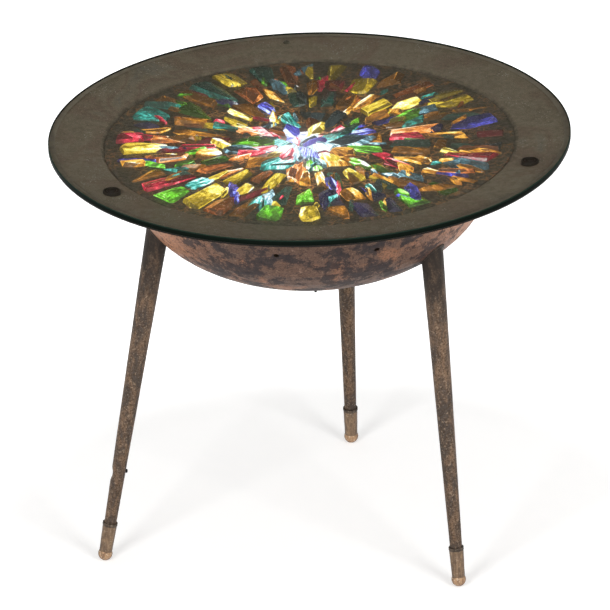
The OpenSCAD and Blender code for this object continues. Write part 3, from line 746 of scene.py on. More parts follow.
class LIT_TABLE_OT_bumpers(bpy.types.Operator):
    """Make the ringed front bumpers and the small rear stud between brim and glass"""

    bl_idname = "lit_table.bumpers"
    bl_label = "Bumpers"

    def execute(self, context):
        low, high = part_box("glass_bumpers")
        seat = brim_z(BUMPER_R - BUMPER_HEAD_R)
        # From the recess's middle out over two rings, down the head's side, and down the barbed stem
        head = mm((0, -0.8), (2.4, -0.8), (3, -0.6), (3.1, -0.1), up=high.z)
        for ring in (3.4, 6.2):
            head += mm((ring, 0), (ring + 1.2, 0), (ring + 1.4, -0.45), (ring + 2.5, -0.45), up=high.z)
        head += mm((-0.6, -0.1), (-0.15, -0.35), (0, -0.9), out=BUMPER_HEAD_R, up=high.z)
        stem = mm((9.4, 0), (2.5, 0), (2.5, -1.7), (2.45, -2.6), up=seat) + mm((1.6, 0), (0, 0), up=low.z)
        material = finish("brown_rubber_ringed", rubber, context.scene.lit_table_glass.rubber, 0.35, 0.2)
        heads = [lathe(head + stem, 48, at_angle(BUMPER_R, angle)) for angle in BUMPER_ANGLES]
        piece("bumpers_ringed", join(*heads), "stand", [material], "glass_bumpers")
        low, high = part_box("rear_bumper")
        seat = brim_z(STUD_R - STUD_HEAD_R)
        stud = mm((0, 0), (1.6, -0.02), (2.7, -0.22), (3.35, -0.7), (3.5, -1.1), up=high.z)
        stud += mm((3.4, 0), (1.5, 0), up=seat) + mm((1.5, 0.5), (1.1, 0), (0, 0), up=low.z)
        form = lathe(stud, 40, at_angle(STUD_R, STUD_ANGLE))
        material = finish("stud_rubber_glossy", rubber, (0.05, 0.042, 0.03), 0.12, 0.5)
        piece("rear_stud_domed", form, "stand", [material], "rear_bumper")
        return {"FINISHED"}


def leg_surface(number, frame_of_leg, angle, s, settings):
    """A point on a leg's face, with its slight unevenness and the knock in the left leg's outer side."""
    r = leg_r(s)
    seed = Vector((math.cos(angle), math.sin(angle), 22 * s)) + Vector((0, 0, 31 * number))
    r -= settings.unevenness * (0.5 + 0.5 * noise.noise(seed * 1.6))
    if number == 0:
        start, end, half_turn = (87 * MM, 94 * MM), (97 * MM, 104 * MM), 0.75
        outer = frame_of_leg.to_3x3().inverted() @ Vector((-SIDEWAYS_X, -SIDEWAYS_Y, 0))
        off = math.remainder(angle - math.atan2(outer.y, outer.x), math.tau)
        along = smooth_step(s, *start) * (1 - smooth_step(s, *end))
        r -= settings.dent * math.exp(-(off / half_turn) ** 2) * along
    return frame_of_leg @ Vector((r * math.cos(angle), r * math.sin(angle), s))


def leg_top(number, frame_of_leg, angle, settings):
    """Length along a leg at which its face meets the bowl, on one side of the leg."""
    low, high = LEG_TOP_SEARCH
    for _ in range(30):
        middle = (low + high) / 2
        point = leg_surface(number, frame_of_leg, angle, middle, settings)
        inside = point.z > FLAT_UNDER_Z and math.hypot(point.x, point.y) < bowl_r(point.z)
        low, high = (low, middle) if inside else (middle, high)
    return (low + high) / 2


class LIT_TABLE_OT_legs(bpy.types.Operator):
    """Make the three tapered legs, their weld beads and the small screw"""

    bl_idname = "lit_table.legs"
    bl_label = "Legs"

    def execute(self, context):
        settings, bowl = context.scene.lit_table_legs, context.scene.lit_table_bowl
        patina = finish("leg_patina_mottled", leg_patina, settings.brown, settings.grey, settings.scorch_z)
        around, steps = 56, 170
        angles = [math.tau * i / around for i in range(around)]
        for number, name in enumerate(LEG_NAMES):
            place = leg_frame(number)
            tops = [leg_top(number, place, angle, settings) for angle in angles]
            points = [place @ Vector((0, 0, LEG_START))]
            for step in range(steps + 1):
                for angle, top in zip(angles, tops):
                    s = LEG_START + (top + 0.4 * MM - LEG_START) * step / steps
                    points.append(leg_surface(number, place, angle, s, settings))
            points.append(place @ Vector((0, 0, sum(tops) / around)))
            faces = [[0, 1 + i, 1 + (i + 1) % around] for i in range(around)]
            faces += skin(steps + 1, around, first=1)
            row = 1 + steps * around
            faces += [[row + i, row + (i + 1) % around, len(points) - 1] for i in range(around)]
            form = (points, faces, [0] * len(faces))
            piece(f"leg_{name}_tube", form, "stand", [patina], f"leg_{name}", sharp=60)
            self.bead(number, place, tops, settings, bowl.bead, patina)
        self.screw()
        return {"FINISHED"}

    @staticmethod
    def bead(number, place, tops, settings, radius, patina):
        """The weld round a leg's top: overlapping drops laid along the line where leg and bowl meet."""
        fine, sides, laps, drops = 4, 12, 13, 3
        count = len(tops) * fine
        path = []
        for i in range(count):
            low, share = i // fine, (i % fine) / fine
            top = tops[low] * (1 - share) + tops[(low + 1) % len(tops)] * share
            angle = math.tau * i / count
            point = leg_surface(number, place, angle, top, settings)
            out = (place.to_3x3() @ Vector((math.cos(angle), math.sin(angle), 0))).normalized()
            path.append((point, (out + bowl_normal(point)).normalized()))
        points = []
        for i, (point, out) in enumerate(path):
            ahead = (path[(i + 1) % count][0] - path[i - 1][0]).normalized()
            side = ahead.cross(out).normalized()
            drop = math.fmod(i * laps / count * drops, 1.0)
            swell = radius * (0.8 + 0.3 * math.sin(math.pi * drop) + 0.25 * noise.noise(point * 160))
            for k in range(sides):
                turn = math.tau * k / sides
                rise, reach = swell * 0.75 * math.cos(turn) + radius * 0.1, swell * 1.25 * math.sin(turn)
                points.append(point + out * rise + side * reach)
        faces = skin(count, sides, closed=True)
        form = (points, faces, [0] * len(faces))
        piece(f"weld_{LEG_NAMES[number]}", form, "stand", [patina], sharp=80)

    @staticmethod
    def screw():
        """The small dark screw on the left leg's inner side."""
        seat = leg_frame(0) @ Matrix.Translation((leg_r(LEG_SCREW_AT), 0, LEG_SCREW_AT))
        form = pan_head(2.2 * MM, 2.1 * MM, 1.2 * MM, 2 * MM, seat @ Matrix.Rotation(math.pi / 2, 4, "Y"))
        piece("leg_screw_slotted", form, "stand", [dark_screw()], "leg_screw", sharp=40)


def dark_screw():
    dark, light = (0.008, 0.008, 0.008), (0.06, 0.05, 0.045)
    return finish("dark_screw_black", aged_metal, (0.02, 0.018, 0.018), dark, light, 0.6, 0.35)


def pan_head(head_r, head_h, shank_r, shank_l, place):
    """A slotted pan head on a short shank, with the head along +Z."""
    profile = [(0, -shank_l), (shank_r, -shank_l), (shank_r, 0.05 * MM), (head_r * 0.97, 0.05 * MM)]
    dome = ((1, 0.3), (0.96, 0.6), (0.84, 0.82), (0.66, 0.93), (0.45, 0.98), (0.22, 1), (0, 1))
    points, faces, bands = lathe(profile + [(head_r * r, head_h * z) for r, z in dome], 48)
    slot_w, slot_h = head_r * 0.32, head_h * 0.4
    for point in points:
        if point.z > head_h * 0.55 and abs(point.x) < slot_w / 2:
            point.z -= slot_h
    return [place @ point for point in points], faces, bands


class LIT_TABLE_OT_ferrules(bpy.types.Operator):
    """Make the ball-ended brass ferrules with their dark lips"""

    bl_idname = "lit_table.ferrules"
    bl_label = "Ferrules"

    def execute(self, context):
        looks = {
            "ball": ((0.5, 0.31, 0.18), (0.27, 0.16, 0.095), (0.62, 0.4, 0.24), 0.6),
            "sleeve": ((0.27, 0.18, 0.115), (0.14, 0.092, 0.062), (0.36, 0.24, 0.14), 0.15),
            "lip": ((0.1, 0.072, 0.054), (0.04, 0.03, 0.024), (0.19, 0.14, 0.1), 0.1),
        }
        brasses = [finish(f"aged_brass_{part}", brass_painted_shade_glints, *look) for part, look in looks.items()]
        ball, sleeve, lip = range(len(brasses))
        neck_s, lip_s, top_s = 3.7 * MM, 34.8 * MM, 38 * MM
        grooves = (12, 27)

        def sleeve_r(s):
            return (6.95 + 0.95 * s / lip_s) * MM

        profile = arc((0, 0), BALL_R, -90, math.degrees(math.asin(neck_s / BALL_R)), 14)
        profile[0] = (0, -BALL_R)
        profile.append((sleeve_r(neck_s) - 0.15 * MM, neck_s + 0.25 * MM))
        ball_bands = len(profile) - 1
        for s in (4.5, 7, 12, 17, 22, 27, 31, 34):
            profile.append((sleeve_r(s * MM) - (0.05 * MM if s in grooves else 0), s * MM))
        sleeve_bands = len(profile) - 1
        profile.append((sleeve_r(lip_s), lip_s - 0.4 * MM))
        profile += mm((8.3, -0.05), (8.4, 0.7), (8.25, 1.5), (8.4, 2.3), up=lip_s)
        profile += mm((8.15, -0.3), (7.5, 0), (6.8, -0.1), (6.75, -3), (0, -3.2), up=top_s)
        for number, name in enumerate(LEG_NAMES):

            def worn(angle, r, s):
                where = Vector((math.cos(angle), math.sin(angle), 17 * number + 300 * s))
                depth = 0.28 * MM if s > lip_s - 0.1 * MM else 0.08 * MM
                return r - depth * (0.5 + 0.5 * noise.noise(where * 2.2))

            form = lathe(profile, 56, leg_frame(number), worn)
            for point in form[0]:
                point.z = max(point.z, 0.0)
            piece(
                f"ferrule_{name}_turned", form, "stand", brasses, f"ferrule_{name}",
                # The band at the ball's neck takes the dark lip finish: painted shade in the groove there
                finish_of=lambda band: (
                    ball if band < ball_bands - 1 else sleeve if ball_bands <= band < sleeve_bands else lip
                ),
            )
        return {"FINISHED"}


class LIT_TABLE_OT_bowl(bpy.types.Operator):
    """Finish the bowl and its panel ledge, and make the earth screw"""

    bl_idname = "lit_table.bowl"
    bl_label = "Bowl"

    def execute(self, context):
        bowl = context.scene.lit_table_bowl
        paint("bowl", finish("bowl_patina_spun", bowl_patina, bowl.brown, bowl.copper, bowl.slate, bowl.veil))
        steel = (0.03, 0.026, 0.022), (0.015, 0.013, 0.012), (0.07, 0.05, 0.04)
        paint("panel_ledge", finish("ledge_steel_dark", aged_metal, *steel, 0.4, 0.5))
        z = BOWL_Z - BOWL_B * math.sin(math.acos(EARTH_R / BOWL_A))
        point = Vector((EARTH_R * math.cos(EARTH_ANGLE), EARTH_R * math.sin(EARTH_ANGLE), z))
        inward = -bowl_normal(point)
        place = Matrix.Translation(point) @ inward.to_track_quat("Z", "Y").to_matrix().to_4x4()
        head_place = place @ Matrix.Translation((0, 0, SHEET + 0.05 * MM))
        head = pan_head(3 * MM, 2.4 * MM, 1.5 * MM, 1 * MM, head_place)
        shank = lathe(threaded(1.5 * MM, 1.3 * MM, -1.5 * MM, SHEET, 0.5 * MM, 0.3 * MM), 24, place)
        screw = join(head, shank)
        piece("earth_screw_slotted", screw, "stand", [dark_screw()], "earth_screw", sharp=40)
        return {"FINISHED"}


def threaded(crest_r, root_r, low, high, pitch, chamfer):
    """Profile of a ridged rod with chamfered ends, closed on the axis at both."""
    profile = [(0, low), (root_r - chamfer * 0.5, low), (root_r, low + chamfer)]
    z = low + chamfer + pitch / 4
    while z + pitch / 2 < high - chamfer:
        profile += [(crest_r, z), (root_r, z + pitch / 2)]
        z += pitch
    return profile + [(root_r, high - chamfer), (root_r - chamfer * 0.5, high), (0, high)]


def chip_outlines(node):
    """The outline and top height of each of a CAD node's chips, in an order that follows their places."""
    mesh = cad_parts[node].data
    groups = []
    for face in mesh.polygons:
        corners = [mesh.vertices[i].co for i in face.vertices]
        if face.normal.z > 0.99 and min(c.z for c in corners) > BED_Z:
            keys = {(round(c.x, 6), round(c.y, 6), round(c.z, 5)) for c in corners}
            touching = [g for g in groups if g & keys]
            groups = [g for g in groups if not g & keys] + [keys.union(*touching)]
    chips = []
    for group in groups:
        corners = [Vector(c) for c in sorted(group)]
        middle = sum(corners, Vector()) / len(corners)
        corners.sort(key=lambda c: math.atan2(c.y - middle.y, c.x - middle.x))
        chips.append((corners, middle))
    return sorted(chips, key=lambda chip: (round(chip[1].x, 4), round(chip[1].y, 4)))


def cut(solid, point, normal):
    """Takes off what lies beyond a plane and closes the cut with one facet."""
    whole = solid.verts[:] + solid.edges[:] + solid.faces[:]
    bmesh.ops.bisect_plane(solid, geom=whole, dist=1e-7, plane_co=point, plane_no=normal, clear_outer=True)
    rim = [edge for edge in solid.edges if edge.is_boundary]
    if rim:
        bmesh.ops.holes_fill(solid, edges=rim, sides=0)


def broken_chip(corners, middle, low_z, chance, facets, nick):
    """One chip: a prism broken back by slanting planes, with narrow breaks between its facets that get painted
    glints.
    """
    solid = bmesh.new()
    low = [solid.verts.new((c.x, c.y, low_z)) for c in corners]
    high = [solid.verts.new(c) for c in corners]
    solid.faces.new(low[::-1])
    solid.faces.new(high)
    for i in range(len(corners)):
        j = (i + 1) % len(corners)
        solid.faces.new((low[i], low[j], high[j], high[i]))
    rise = middle.z - BED_Z
    longest = max(range(len(corners)), key=lambda i: (corners[i] - corners[i - 1]).length)
    grain = (corners[longest] - corners[longest - 1]).normalized()
    across = Vector((-grain.y, grain.x, 0))
    width = min((corners[i] - corners[i - 1]).length for i in range(len(corners)))
    # The top is split along the grain into sloping facets
    for _ in range(chance.randint(1, facets)):
        slope = math.radians(chance.uniform(5, 24)) * chance.choice((-1, 1))
        turn = Matrix.Rotation(chance.gauss(0, 0.35), 3, "Z")
        lean = turn @ across * math.sin(slope) + Vector((0, 0, math.cos(slope)))
        reach = (turn @ across) * chance.uniform(-0.3, 0.3) * width
        cut(solid, Vector((middle.x, middle.y, middle.z - rise * chance.uniform(0.0, 0.3))) + reach, lean)
    # The ends and sides are broken off at steeper slopes
    for i in range(len(corners)):
        edge = corners[i] - corners[i - 1]
        outward = Vector((edge.y, -edge.x, 0)).normalized()
        if outward.dot((corners[i] + corners[i - 1]) / 2 - middle) < 0:
            outward.negate()
        steep = math.radians(chance.uniform(25, 70))
        normal = outward * math.sin(steep) + Vector((0, 0, math.cos(steep)))
        normal.rotate(Matrix.Rotation(chance.gauss(0, 0.14), 3, "Z"))
        foot = (corners[i] + corners[i - 1]) / 2
        foot.z = middle.z - rise * chance.uniform(0.4, 1.0)
        cut(solid, foot, normal)
    for corner in chance.sample(corners, 2):
        inward = (middle - corner) * chance.uniform(0.06, 0.3)
        outward = Vector((-inward.x, -inward.y, inward.length * chance.uniform(0.1, 0.8))).normalized()
        foot = corner + inward
        foot.z = middle.z - 0.7 * rise
        cut(solid, foot, outward)
    least = 0.02 * MM
    bmesh.ops.remove_doubles(solid, verts=solid.verts, dist=least)
    bmesh.ops.dissolve_degenerate(solid, edges=solid.edges, dist=least)
    shown_z, least_turn = BED_Z - 3 * MM, 0.12
    upper = [
        e for e in solid.edges
        if min(v.co.z for v in e.verts) > shown_z and e.calc_face_angle(0) > least_turn
    ]
    bmesh.ops.bevel(solid, geom=upper, offset=nick, segments=1, affect="EDGES", clamp_overlap=True)
    return solid


def narrowed(corners, middle, share):
    """An outline with its width, across the direction of the burst, cut to a share."""
    across = Vector((-middle.y, middle.x, 0)).normalized()
    return [c - across * (c - middle).dot(across) * (1 - share) for c in corners]


def splinter(chance):
    """Corners and middle of a long thin chip that lies across the others, roughly in line with the burst."""
    least_out, most_out = 55 * MM, 195 * MM
    out = math.sqrt(chance.uniform(least_out ** 2, most_out ** 2))
    angle = chance.uniform(0, math.tau)
    top = chance.uniform(460.2, 463.3) * MM
    middle = Vector((out * math.cos(angle), out * math.sin(angle), top))
    length = chance.uniform(18, 62) * MM * (0.62 + 1.6 * out)
    width = min(15 * MM, length * chance.uniform(0.16, 0.42))
    along = Matrix.Rotation(angle + chance.gauss(0, 0.33), 3, "Z")
    shape = ((-0.5, -0.15), (0.1, -0.5), (0.5, -0.2), (0.5, 0.1), (-0.1, 0.5), (-0.5, 0.25))
    stray = 0.09
    corners = []
    for x, y in shape:
        x, y = x + chance.uniform(-stray, stray), y + chance.uniform(-stray, stray)
        corners.append(middle + along @ Vector((x * length, y * width, 0)))
    return corners, middle


def petals(panel, name):
    """Corners and middle of each of one colour's long chips round the bright spot."""
    shape = (
        (0, -0.14), (0.3, -0.4), (0.66, -0.5), (1, -0.1), (0.94, 0.12), (0.56, 0.5), (0.25, 0.34), (0, 0.12),
    )
    made = []
    for start, reach, top, names in PETALS:
        names = names.split()
        chance = random.Random(f"petals {len(names)}")
        for i, colour_name in enumerate(names):
            length = reach * chance.uniform(0.75, 1.25)
            width = 0.85 * math.tau * (start + 0.6 * length) / len(names) * chance.uniform(0.75, 1.15)
            along = Matrix.Rotation(math.tau * (i + chance.uniform(-0.25, 0.25)) / len(names), 3, "Z")
            origin = Vector((panel.glow_x, panel.glow_y, top - chance.uniform(0, 1.0) * MM))
            if colour_name == name:
                corners = [origin + along @ Vector((start + x * length, y * width, 0)) for x, y in shape]
                made.append((corners, sum(corners, Vector()) / len(corners)))
    return made


class LIT_TABLE_OT_panel(bpy.types.Operator):
    """Make the cast resin bed and the broken glass chips that are set in it"""

    bl_idname = "lit_table.panel"
    bl_label = "Lit panel"

    def execute(self, context):
        panel = context.scene.lit_table_panel
        self.bed(panel)
        for name in CHIPS:
            self.chips(panel, name)
        return {"FINISHED"}

    def bed(self, panel):
        """The resin, rough on top, with its edge against the bowl's wall."""
        clear = 1 * MM
        low_r, high_r = bowl_r(BED_UNDER_Z, SHEET) - clear, bowl_r(BED_Z, SHEET) - clear
        low_z = BED_UNDER_Z + 0.3 * MM
        rings, around = 84, 320
        per_metre, roughening, finer, octaves = 45, 0.8, 2.1, 4
        profile = [(high_r * (i / rings) ** 0.8, BED_Z) for i in range(rings + 1)]
        profile += mm((0.1, -1.2), out=high_r, up=BED_Z) + mm((0, 0.4), (-0.4, 0), out=low_r, up=low_z)
        form = lathe(profile + [(0, low_z)], around)
        for point in form[0]:
            if point.z > BED_Z - 0.1 * MM:
                at = Vector((point.x, point.y, 0.7)) * per_metre
                lumps = 0.5 + 0.5 * noise.fractal(at, roughening, finer, octaves)
                point.z -= panel.roughness * min(1.0, max(0.0, lumps))
        material = finish("dark_resin_cast", resin, panel)
        piece("panel_bed_cast", form, "panel", [material], "panel_bed")

    def chips(self, panel, name):
        """All chips of one colour. Each facet's painted light is kept on its face corners."""
        colours, _, splinter_share = CHIPS[name]
        whole = bmesh.new()
        light = whole.loops.layers.float.new("facet_light")
        spare = random.Random(f"{name} splinters")
        sunk_z = BED_Z - 1 * MM
        fixed = [(*chip, BED_UNDER_Z) for chip in chip_outlines(f"chips_{name}")]
        loose = [(*splinter(spare), sunk_z) for _ in range(round(panel.splinters * splinter_share))]
        burst = [(*petal, sunk_z) for petal in petals(panel, name)]
        for number, (corners, middle, low_z) in enumerate(fixed + loose + burst):
            chance = random.Random(f"{name} {number}")
            if number < len(fixed):
                corners = narrowed(corners, middle, chance.uniform(0.74, 1.0))
            solid = broken_chip(corners, middle, low_z, chance, panel.facets, panel.nick)
            taken = self.light_taken(panel, name, middle, chance, number >= len(fixed + loose))
            # Painted light: the end towards the lamp is the brighter one
            lamp = (Vector((panel.glow_x, panel.glow_y, middle.z)) - middle).normalized()
            tilt = (lamp * 1.2 + Vector((chance.gauss(0, 1), chance.gauss(0, 1), 0))).normalized()
            reach = max((c - middle).length for c in corners)
            for face in solid.faces:
                new = whole.faces.new([whole.verts.new(v.co) for v in face.verts])
                longest = max(e.calc_length() for e in face.edges)
                # Painted glints on the narrow faces along the breaks
                if face.calc_area() < 2 * panel.nick * longest:
                    level = taken * chance.uniform(0.4, 1.3) + 0.5 * chance.random() ** 5
                else:
                    level = taken * chance.choice((0.18, 0.5, 0.85, 1.1, 1.6))
                for loop in new.loops:
                    offset = loop.vert.co - middle
                    slide, spread = offset.dot(tilt) / reach, offset.length / reach
                    loop[light] = level * (1.25 + 0.5 * slide - 0.55 * spread ** 2)
            solid.free()
        bmesh.ops.remove_doubles(whole, verts=whole.verts, dist=0.001 * MM)
        mesh = bpy.data.meshes.new(f"chips_{name}_broken")
        whole.to_mesh(mesh)
        whole.free()
        mesh.materials.append(finish(f"{name}_glass_lit", chip_glass, panel, *colours))
        placed(mesh.name, mesh, "panel", f"chips_{name}")

    @staticmethod
    def light_taken(panel, name, middle, chance, surely_lit):
        """How much painted light a chip has: some take the lamp's light, most of all near it, some stay dim,
        and those at the back are dimmer.
        """
        away = math.hypot(middle.x - panel.glow_x, middle.y - panel.glow_y)
        least, most = CHIPS[name][1]
        near, wide, fading, far_side = 0.05, 0.12, (0.14, 0.215), (-0.02, 0.14)
        lit = surely_lit or chance.random() < panel.lit_share + 0.5 * math.exp(-(away / near) ** 2)
        taken = most * chance.uniform(0.65, 1.1) if lit else least * chance.uniform(0.6, 1.8)
        taken *= 0.85 + 0.75 * math.exp(-(away / CORE_REACH) ** 2) + 0.3 * math.exp(-(away / wide) ** 2)
        taken *= 1 - 0.5 * smooth_step(away, *fading)
        return taken * (1.1 - 0.3 * smooth_step(middle.y, *far_side))


class LIT_TABLE_OT_lamp(bpy.types.Operator):
    """Make the bulb, its screw cap and the lampholder's parts"""

    bl_idname = "lit_table.lamp"
    bl_label = "Lamp"

    def execute(self, context):
        lamp = context.scene.lit_table_lamp
        yellow = (0.56, 0.4, 0.16), (0.32, 0.21, 0.08), (0.75, 0.6, 0.32)
        grey = (0.56, 0.55, 0.52), (0.36, 0.35, 0.33), (0.72, 0.71, 0.69)
        brass = finish("lamp_brass_plain", aged_metal, *yellow, 0.9, 0.25)
        plated = finish("plated_steel_plain", aged_metal, *grey, 0.9, 0.24)
        self.globe(lamp)
        self.cap(lamp, plated)
        self.skirt()
        self.nipple(brass)
        self.washers_and_nuts(plated, brass)
        self.bushing()
        for node in ("lampholder_base", "lampholder_contact", "lampholder_shell"):
            paint(node, brass)
        porcelain = (0.8, 0.77, 0.7), (0.7, 0.66, 0.58)
        paint("lampholder_insert", finish("porcelain_glazed", smooth_part, *porcelain, 0.12))
        return {"FINISHED"}

    @staticmethod
    def globe(lamp):
        """The globe's glass, drawn in to its cap."""
        low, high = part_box("bulb_globe")
        globe_r, neck_r, wall = high.x, 12.6 * MM, 0.8 * MM
        joint = -math.degrees(math.acos(neck_r / globe_r))
        outer = arc((0, high.z - globe_r), globe_r, joint, 90, 28)
        inner = [(max(0.0, r - wall * (r / globe_r) ** 0.3), z - wall) for r, z in outer]
        outer[-1], inner[-1] = (0, high.z), (0, high.z - wall)
        form = lathe(inner[:0:-1] + [(neck_r - wall, low.z), (neck_r, low.z)] + outer[1:], 96)
        frost = (0.9, 0.86, 0.78), (0.82, 0.78, 0.7)
        lit = finish("bulb_glass_lit", smooth_part, *frost, 0.2, lamp.globe, lamp.strength)
        piece("bulb_globe_blown", form, "bulb", [lit], "bulb_globe", sharp=60)

    @staticmethod
    def cap(lamp, plated):
        """The bulb's cap, with its rolled thread, insulator and contact."""
        low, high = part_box("bulb_cap")
        crest, depth, rows = high.x, 0.45 * MM, 60
        start, end = low.z + 6.2 * MM, high.z - 4 * MM
        profile = mm((0, 0), (2.2, 0), (3.6, 0.5), (4.6, 1.6), (4.9, 2.9), (9.8, 4.7), (10.5, 5), up=low.z)
        profile.append((crest - 0.9 * MM, start))
        profile += [(crest - depth, start + (end - start) * i / rows) for i in range(rows + 1)]
        profile += mm((-0.2, -3.2), (-0.2, -0.3), (-0.8, 0), out=crest, up=high.z)

        def thread(angle, r, z):
            if not start < z < end:
                return r
            return r + depth * math.sin(math.tau * ((z - start) / lamp.pitch - angle / math.tau))

        form = lathe(profile + [(0, high.z)], 72, ripple=thread)
        piece("bulb_cap_threaded", form, "bulb", [plated], "bulb_cap", sharp=70)

    @staticmethod
    def skirt():
        """The lampholder's skirt, with moulded grip ribs and a rounded mouth."""
        low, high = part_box("lampholder_skirt")
        outer, wall, ribs = high.x, 3 * MM, 36
        inner_start = (outer - wall, low.z + 2 * MM)
        heights = (0.6, 4, 5, 8, 12, 16, 20, 23, 24)
        profile = [inner_start, (outer - wall, low.z)]
        profile += mm((-0.6, 0), *((-0.1, height) for height in heights), out=outer, up=low.z)
        profile += arc((outer - wall / 2, high.z - wall / 2), wall / 2, 0, 180, 8) + [inner_start]

        def grip(angle, r, z):
            ribbed = low.z + 4.5 * MM < z < low.z + 23.5 * MM and r > outer - 1 * MM
            return r - (0.7 * MM * abs(math.sin(ribs * angle / 2)) ** 3 if ribbed else 0)

        form = lathe(profile, ribs * 8, ripple=grip)
        bakelite = finish("bakelite_black", smooth_part, (0.012, 0.01, 0.009), (0.022, 0.018, 0.016), 0.22)
        piece("lampholder_skirt_ribbed", form, "stand", [bakelite], "lampholder_skirt", sharp=60)

    @staticmethod
    def nipple(brass):
        """The hollow threaded nipple."""
        low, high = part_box("nipple")
        bore = 4 * MM
        rod = threaded(5 * MM, 4.7 * MM, low.z, high.z, 1 * MM, 0.3 * MM)[1:-1]
        form = lathe([(bore, low.z), *rod, (bore, high.z), (bore, low.z)], 40)
        piece("nipple_threaded", form, "stand", [brass], "nipple")

    @staticmethod
    def washers_and_nuts(plated, brass):
        """Two turned washers and two chamfered nuts, one of each at either end of their CAD nodes."""

        def hexagon(angle, r, height):
            flat = 7 * MM / math.cos(math.remainder(angle - math.pi / 6, math.pi / 3))
            return r if r < 5.1 * MM else min(flat, r + 0.08 * MM)

        washer = ((5.1, 0), (9.7, 0), (10, 0.25), (10, 0.95), (9.7, 1.2), (5.1, 1.2), (5.1, 0))
        nut = ((5, 0), (7, 0), (8, 0.5), (8, 3.5), (7, 4), (5, 4), (5, 0))
        for node, name, face, height, segments, ripple, slot, material, sharp in (
            ("nipple_washers", "turned", washer, 1.2 * MM, 64, None, "plated_steel", plated, 40),
            ("nipple_locknuts", "chamfered", nut, 4 * MM, 96, hexagon, "lamp_brass", brass, 25),
        ):
            low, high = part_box(node)
            pair = [lathe(mm(*face, up=z), segments, ripple=ripple) for z in (low.z, high.z - height)]
            piece(f"{node}_{name}", join(*pair), "stand", [material], node, sharp=sharp)

    @staticmethod
    def bushing():
        """The cord bushing under the bowl."""
        flange = ((3.25, 0.4), (3.7, 0), (5.1, 0), (5.5, 0.4), (5.5, 1.2), (5.2, 1.5))
        sleeve = ((4, 1.5), (4, 13), (3.7, 13.5), (3.25, 13.5), (3.25, 0.4))
        form = lathe(mm(*flange, *sleeve, up=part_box("cord_bushing")[0].z), 56)
        nylon = finish("black_plastic_nylon", smooth_part, (0.012, 0.012, 0.012), (0.02, 0.02, 0.02), 0.4)
        piece("cord_bushing_moulded", form, "stand", [nylon], "cord_bushing", sharp=40)


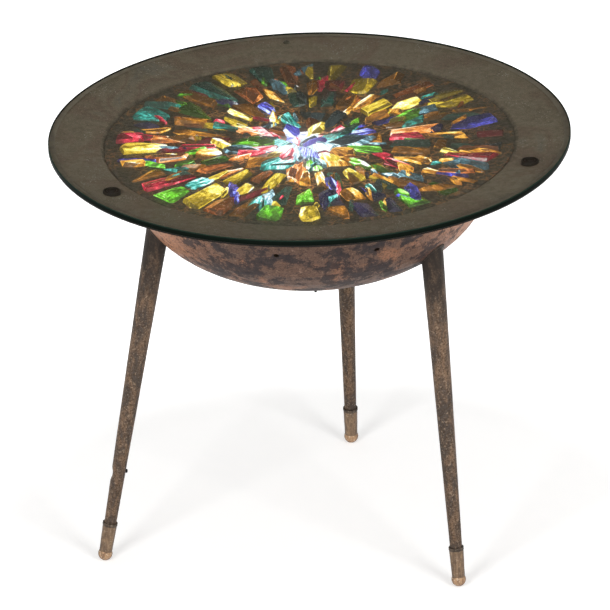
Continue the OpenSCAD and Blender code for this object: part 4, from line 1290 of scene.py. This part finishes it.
class LIT_TABLE_OT_stage(bpy.types.Operator):
    """Make the pale floor, the soft lights, the white surroundings and the camera"""

    bl_idname = "lit_table.stage"
    bl_label = "Studio"

    def execute(self, context):
        stage = context.scene.lit_table_stage
        half = 14.0
        corners = [(-half, -half, 0), (half, -half, 0), (half, half, 0), (-half, half, 0)]
        mesh = bpy.data.meshes.new("floor")
        mesh.from_pydata(corners, [], [(0, 1, 2, 3)])
        mesh.materials.append(finish("floor_pale", self.floor, stage))
        floor = bpy.data.objects.new("floor", mesh)
        context.scene.collection.objects.link(floor)
        self.world(context, stage)
        self.soft_light("light_left", (-0.92, -2.86, 2.05), stage.key)
        self.soft_light("light_right", (2.2, -2.04, 2.05), stage.fill)
        self.camera(context)
        context.scene.view_settings.view_transform = "Standard"
        return {"FINISHED"}

    @staticmethod
    def floor(f, stage):
        """Pale and matt, lifted to white for the eye, so that near the table only shadows show on it; beyond
        the lift radius it is painted full white, hiding the shadows that fall there.
        """
        grain = f.noise(40, 3)
        seen = path_share(f, "Is Camera Ray", "Is Glossy Ray", "Is Transmission Ray")
        tone = tuple(stage.floor)
        plain = {"base": grain.step(0.3, 0.7).mix(tone, shade(tone, 0.98)), "rough": 0.9, "shine": 0.1}
        x, y, _ = f.axes()
        # Painted light: lifted to full white farther out, hiding the shadows there
        far = f.length(x, y).step(0.62 * stage.lift_r, stage.lift_r)
        lift = far.mix((stage.floor_lift,) * 3, (1.0, 1.0, 1.0))
        return f.done(f.blend(seen, f.shader(**plain), f.shader(**plain, glow=lift, glow_strength=1.0)))

    @staticmethod
    def world(context, stage):
        """White for the eye. Reflections and glass see white only at the horizon, under a dark studio."""
        world = bpy.data.worlds.new("studio")
        world.use_nodes = True
        world.node_tree.nodes.clear()
        w = Wire(world.node_tree)
        aim = w.node("ShaderNodeTexCoord", out="Generated")
        height = w.node("ShaderNodeSeparateXYZ", values={0: aim}, out=2)
        upper = height.ramp(
            (0.0, (1.0, 1.0, 1.0)), (0.05, (0.45, 0.44, 0.42)), (0.2, (0.06, 0.055, 0.045)),
            (0.55, (0.03, 0.027, 0.022)), (1.0, (0.3, 0.29, 0.27)),
        )
        eye = path_share(w, "Is Camera Ray")
        mirrored = path_share(w, "Is Glossy Ray", "Is Transmission Ray")
        colour = eye.mix(mirrored.mix((stage.ambient,) * 3, upper), (1.0, 1.0, 1.0))
        back = w.node("ShaderNodeBackground", values={0: colour, 1: 1.0})
        w.node("ShaderNodeOutputWorld", values={"Surface": back})
        context.scene.world = world

    @staticmethod
    def soft_light(name, place, power):
        """A soft box, 1 m square, that faces the table's middle."""
        data = bpy.data.lights.new(name, "AREA")
        data.energy, data.size = power, 1.0
        light = bpy.data.objects.new(name, data)
        bpy.context.scene.collection.objects.link(light)
        light.location = place
        light.rotation_euler = (Vector((0, 0, 0.25)) - Vector(place)).to_track_quat("-Z", "Y").to_euler()

    @staticmethod
    def camera(context):
        """A long lens in front of the table, slightly rolled, as the photograph was taken."""
        turn, place = math.radians(12.13), (0, -7.8577, 3.8863)
        yaw, pitch, roll = -0.00127, 0.43144, -0.02957
        focal_pixels, photo_pixels, sensor = 8000, 610, 36.0
        ahead = Vector((math.sin(yaw) * math.cos(pitch), math.cos(yaw) * math.cos(pitch), -math.sin(pitch)))
        level = ahead.cross(Vector((0, 0, 1))).normalized()
        up = level.cross(ahead)
        right = level * math.cos(roll) + up * math.sin(roll)
        above = up * math.cos(roll) - level * math.sin(roll)
        axes = Matrix((right, above, -ahead)).transposed().to_4x4()
        data = bpy.data.cameras.new("camera")
        data.sensor_width = sensor
        data.lens = focal_pixels / photo_pixels * sensor
        data.clip_start, data.clip_end = 0.5, 60.0
        camera = bpy.data.objects.new("camera", data)
        context.scene.collection.objects.link(camera)
        camera.matrix_world = Matrix.Rotation(turn, 4, "Z") @ Matrix.Translation(place) @ axes
        context.scene.camera = camera


def path_share(wire, *kinds):
    """1 for these kinds of ray and 0 for the others."""
    share, *others = (wire.node("ShaderNodeLightPath", out=kind) for kind in kinds)
    for other in others:
        share = wire.math("MAXIMUM", share, other)
    return share


OPERATORS = [
    LIT_TABLE_OT_glass_top, LIT_TABLE_OT_bumpers, LIT_TABLE_OT_bowl, LIT_TABLE_OT_legs, LIT_TABLE_OT_ferrules,
    LIT_TABLE_OT_panel, LIT_TABLE_OT_lamp, LIT_TABLE_OT_stage,
]


class LIT_TABLE_PT_pieces(bpy.types.Panel):
    """The table's pieces and their settings"""

    bl_idname = "LIT_TABLE_PT_pieces"
    bl_label = "Lit glass table"
    bl_space_type = "VIEW_3D"
    bl_region_type = "UI"
    bl_category = "Table"

    def draw(self, context):
        for operator in OPERATORS:
            self.layout.operator(operator.bl_idname)
        for name, group in GROUPS.items():
            box = self.layout.box()
            box.label(text=name.removeprefix("lit_table_").capitalize())
            for setting in group.__annotations__:
                box.prop(getattr(context.scene, name), setting)


def register():
    for kind in (*GROUPS.values(), *OPERATORS, LIT_TABLE_PT_pieces):
        bpy.utils.register_class(kind)
    for name, group in GROUPS.items():
        setattr(bpy.types.Scene, name, PointerProperty(type=group))


def unregister():
    for name in GROUPS:
        delattr(bpy.types.Scene, name)
    for kind in reversed((*GROUPS.values(), *OPERATORS, LIT_TABLE_PT_pieces)):
        bpy.utils.unregister_class(kind)


def main():
    register()
    for operator in OPERATORS:
        getattr(bpy.ops.lit_table, operator.bl_idname.split(".")[1])()


if __name__ == "__main__":
    main()
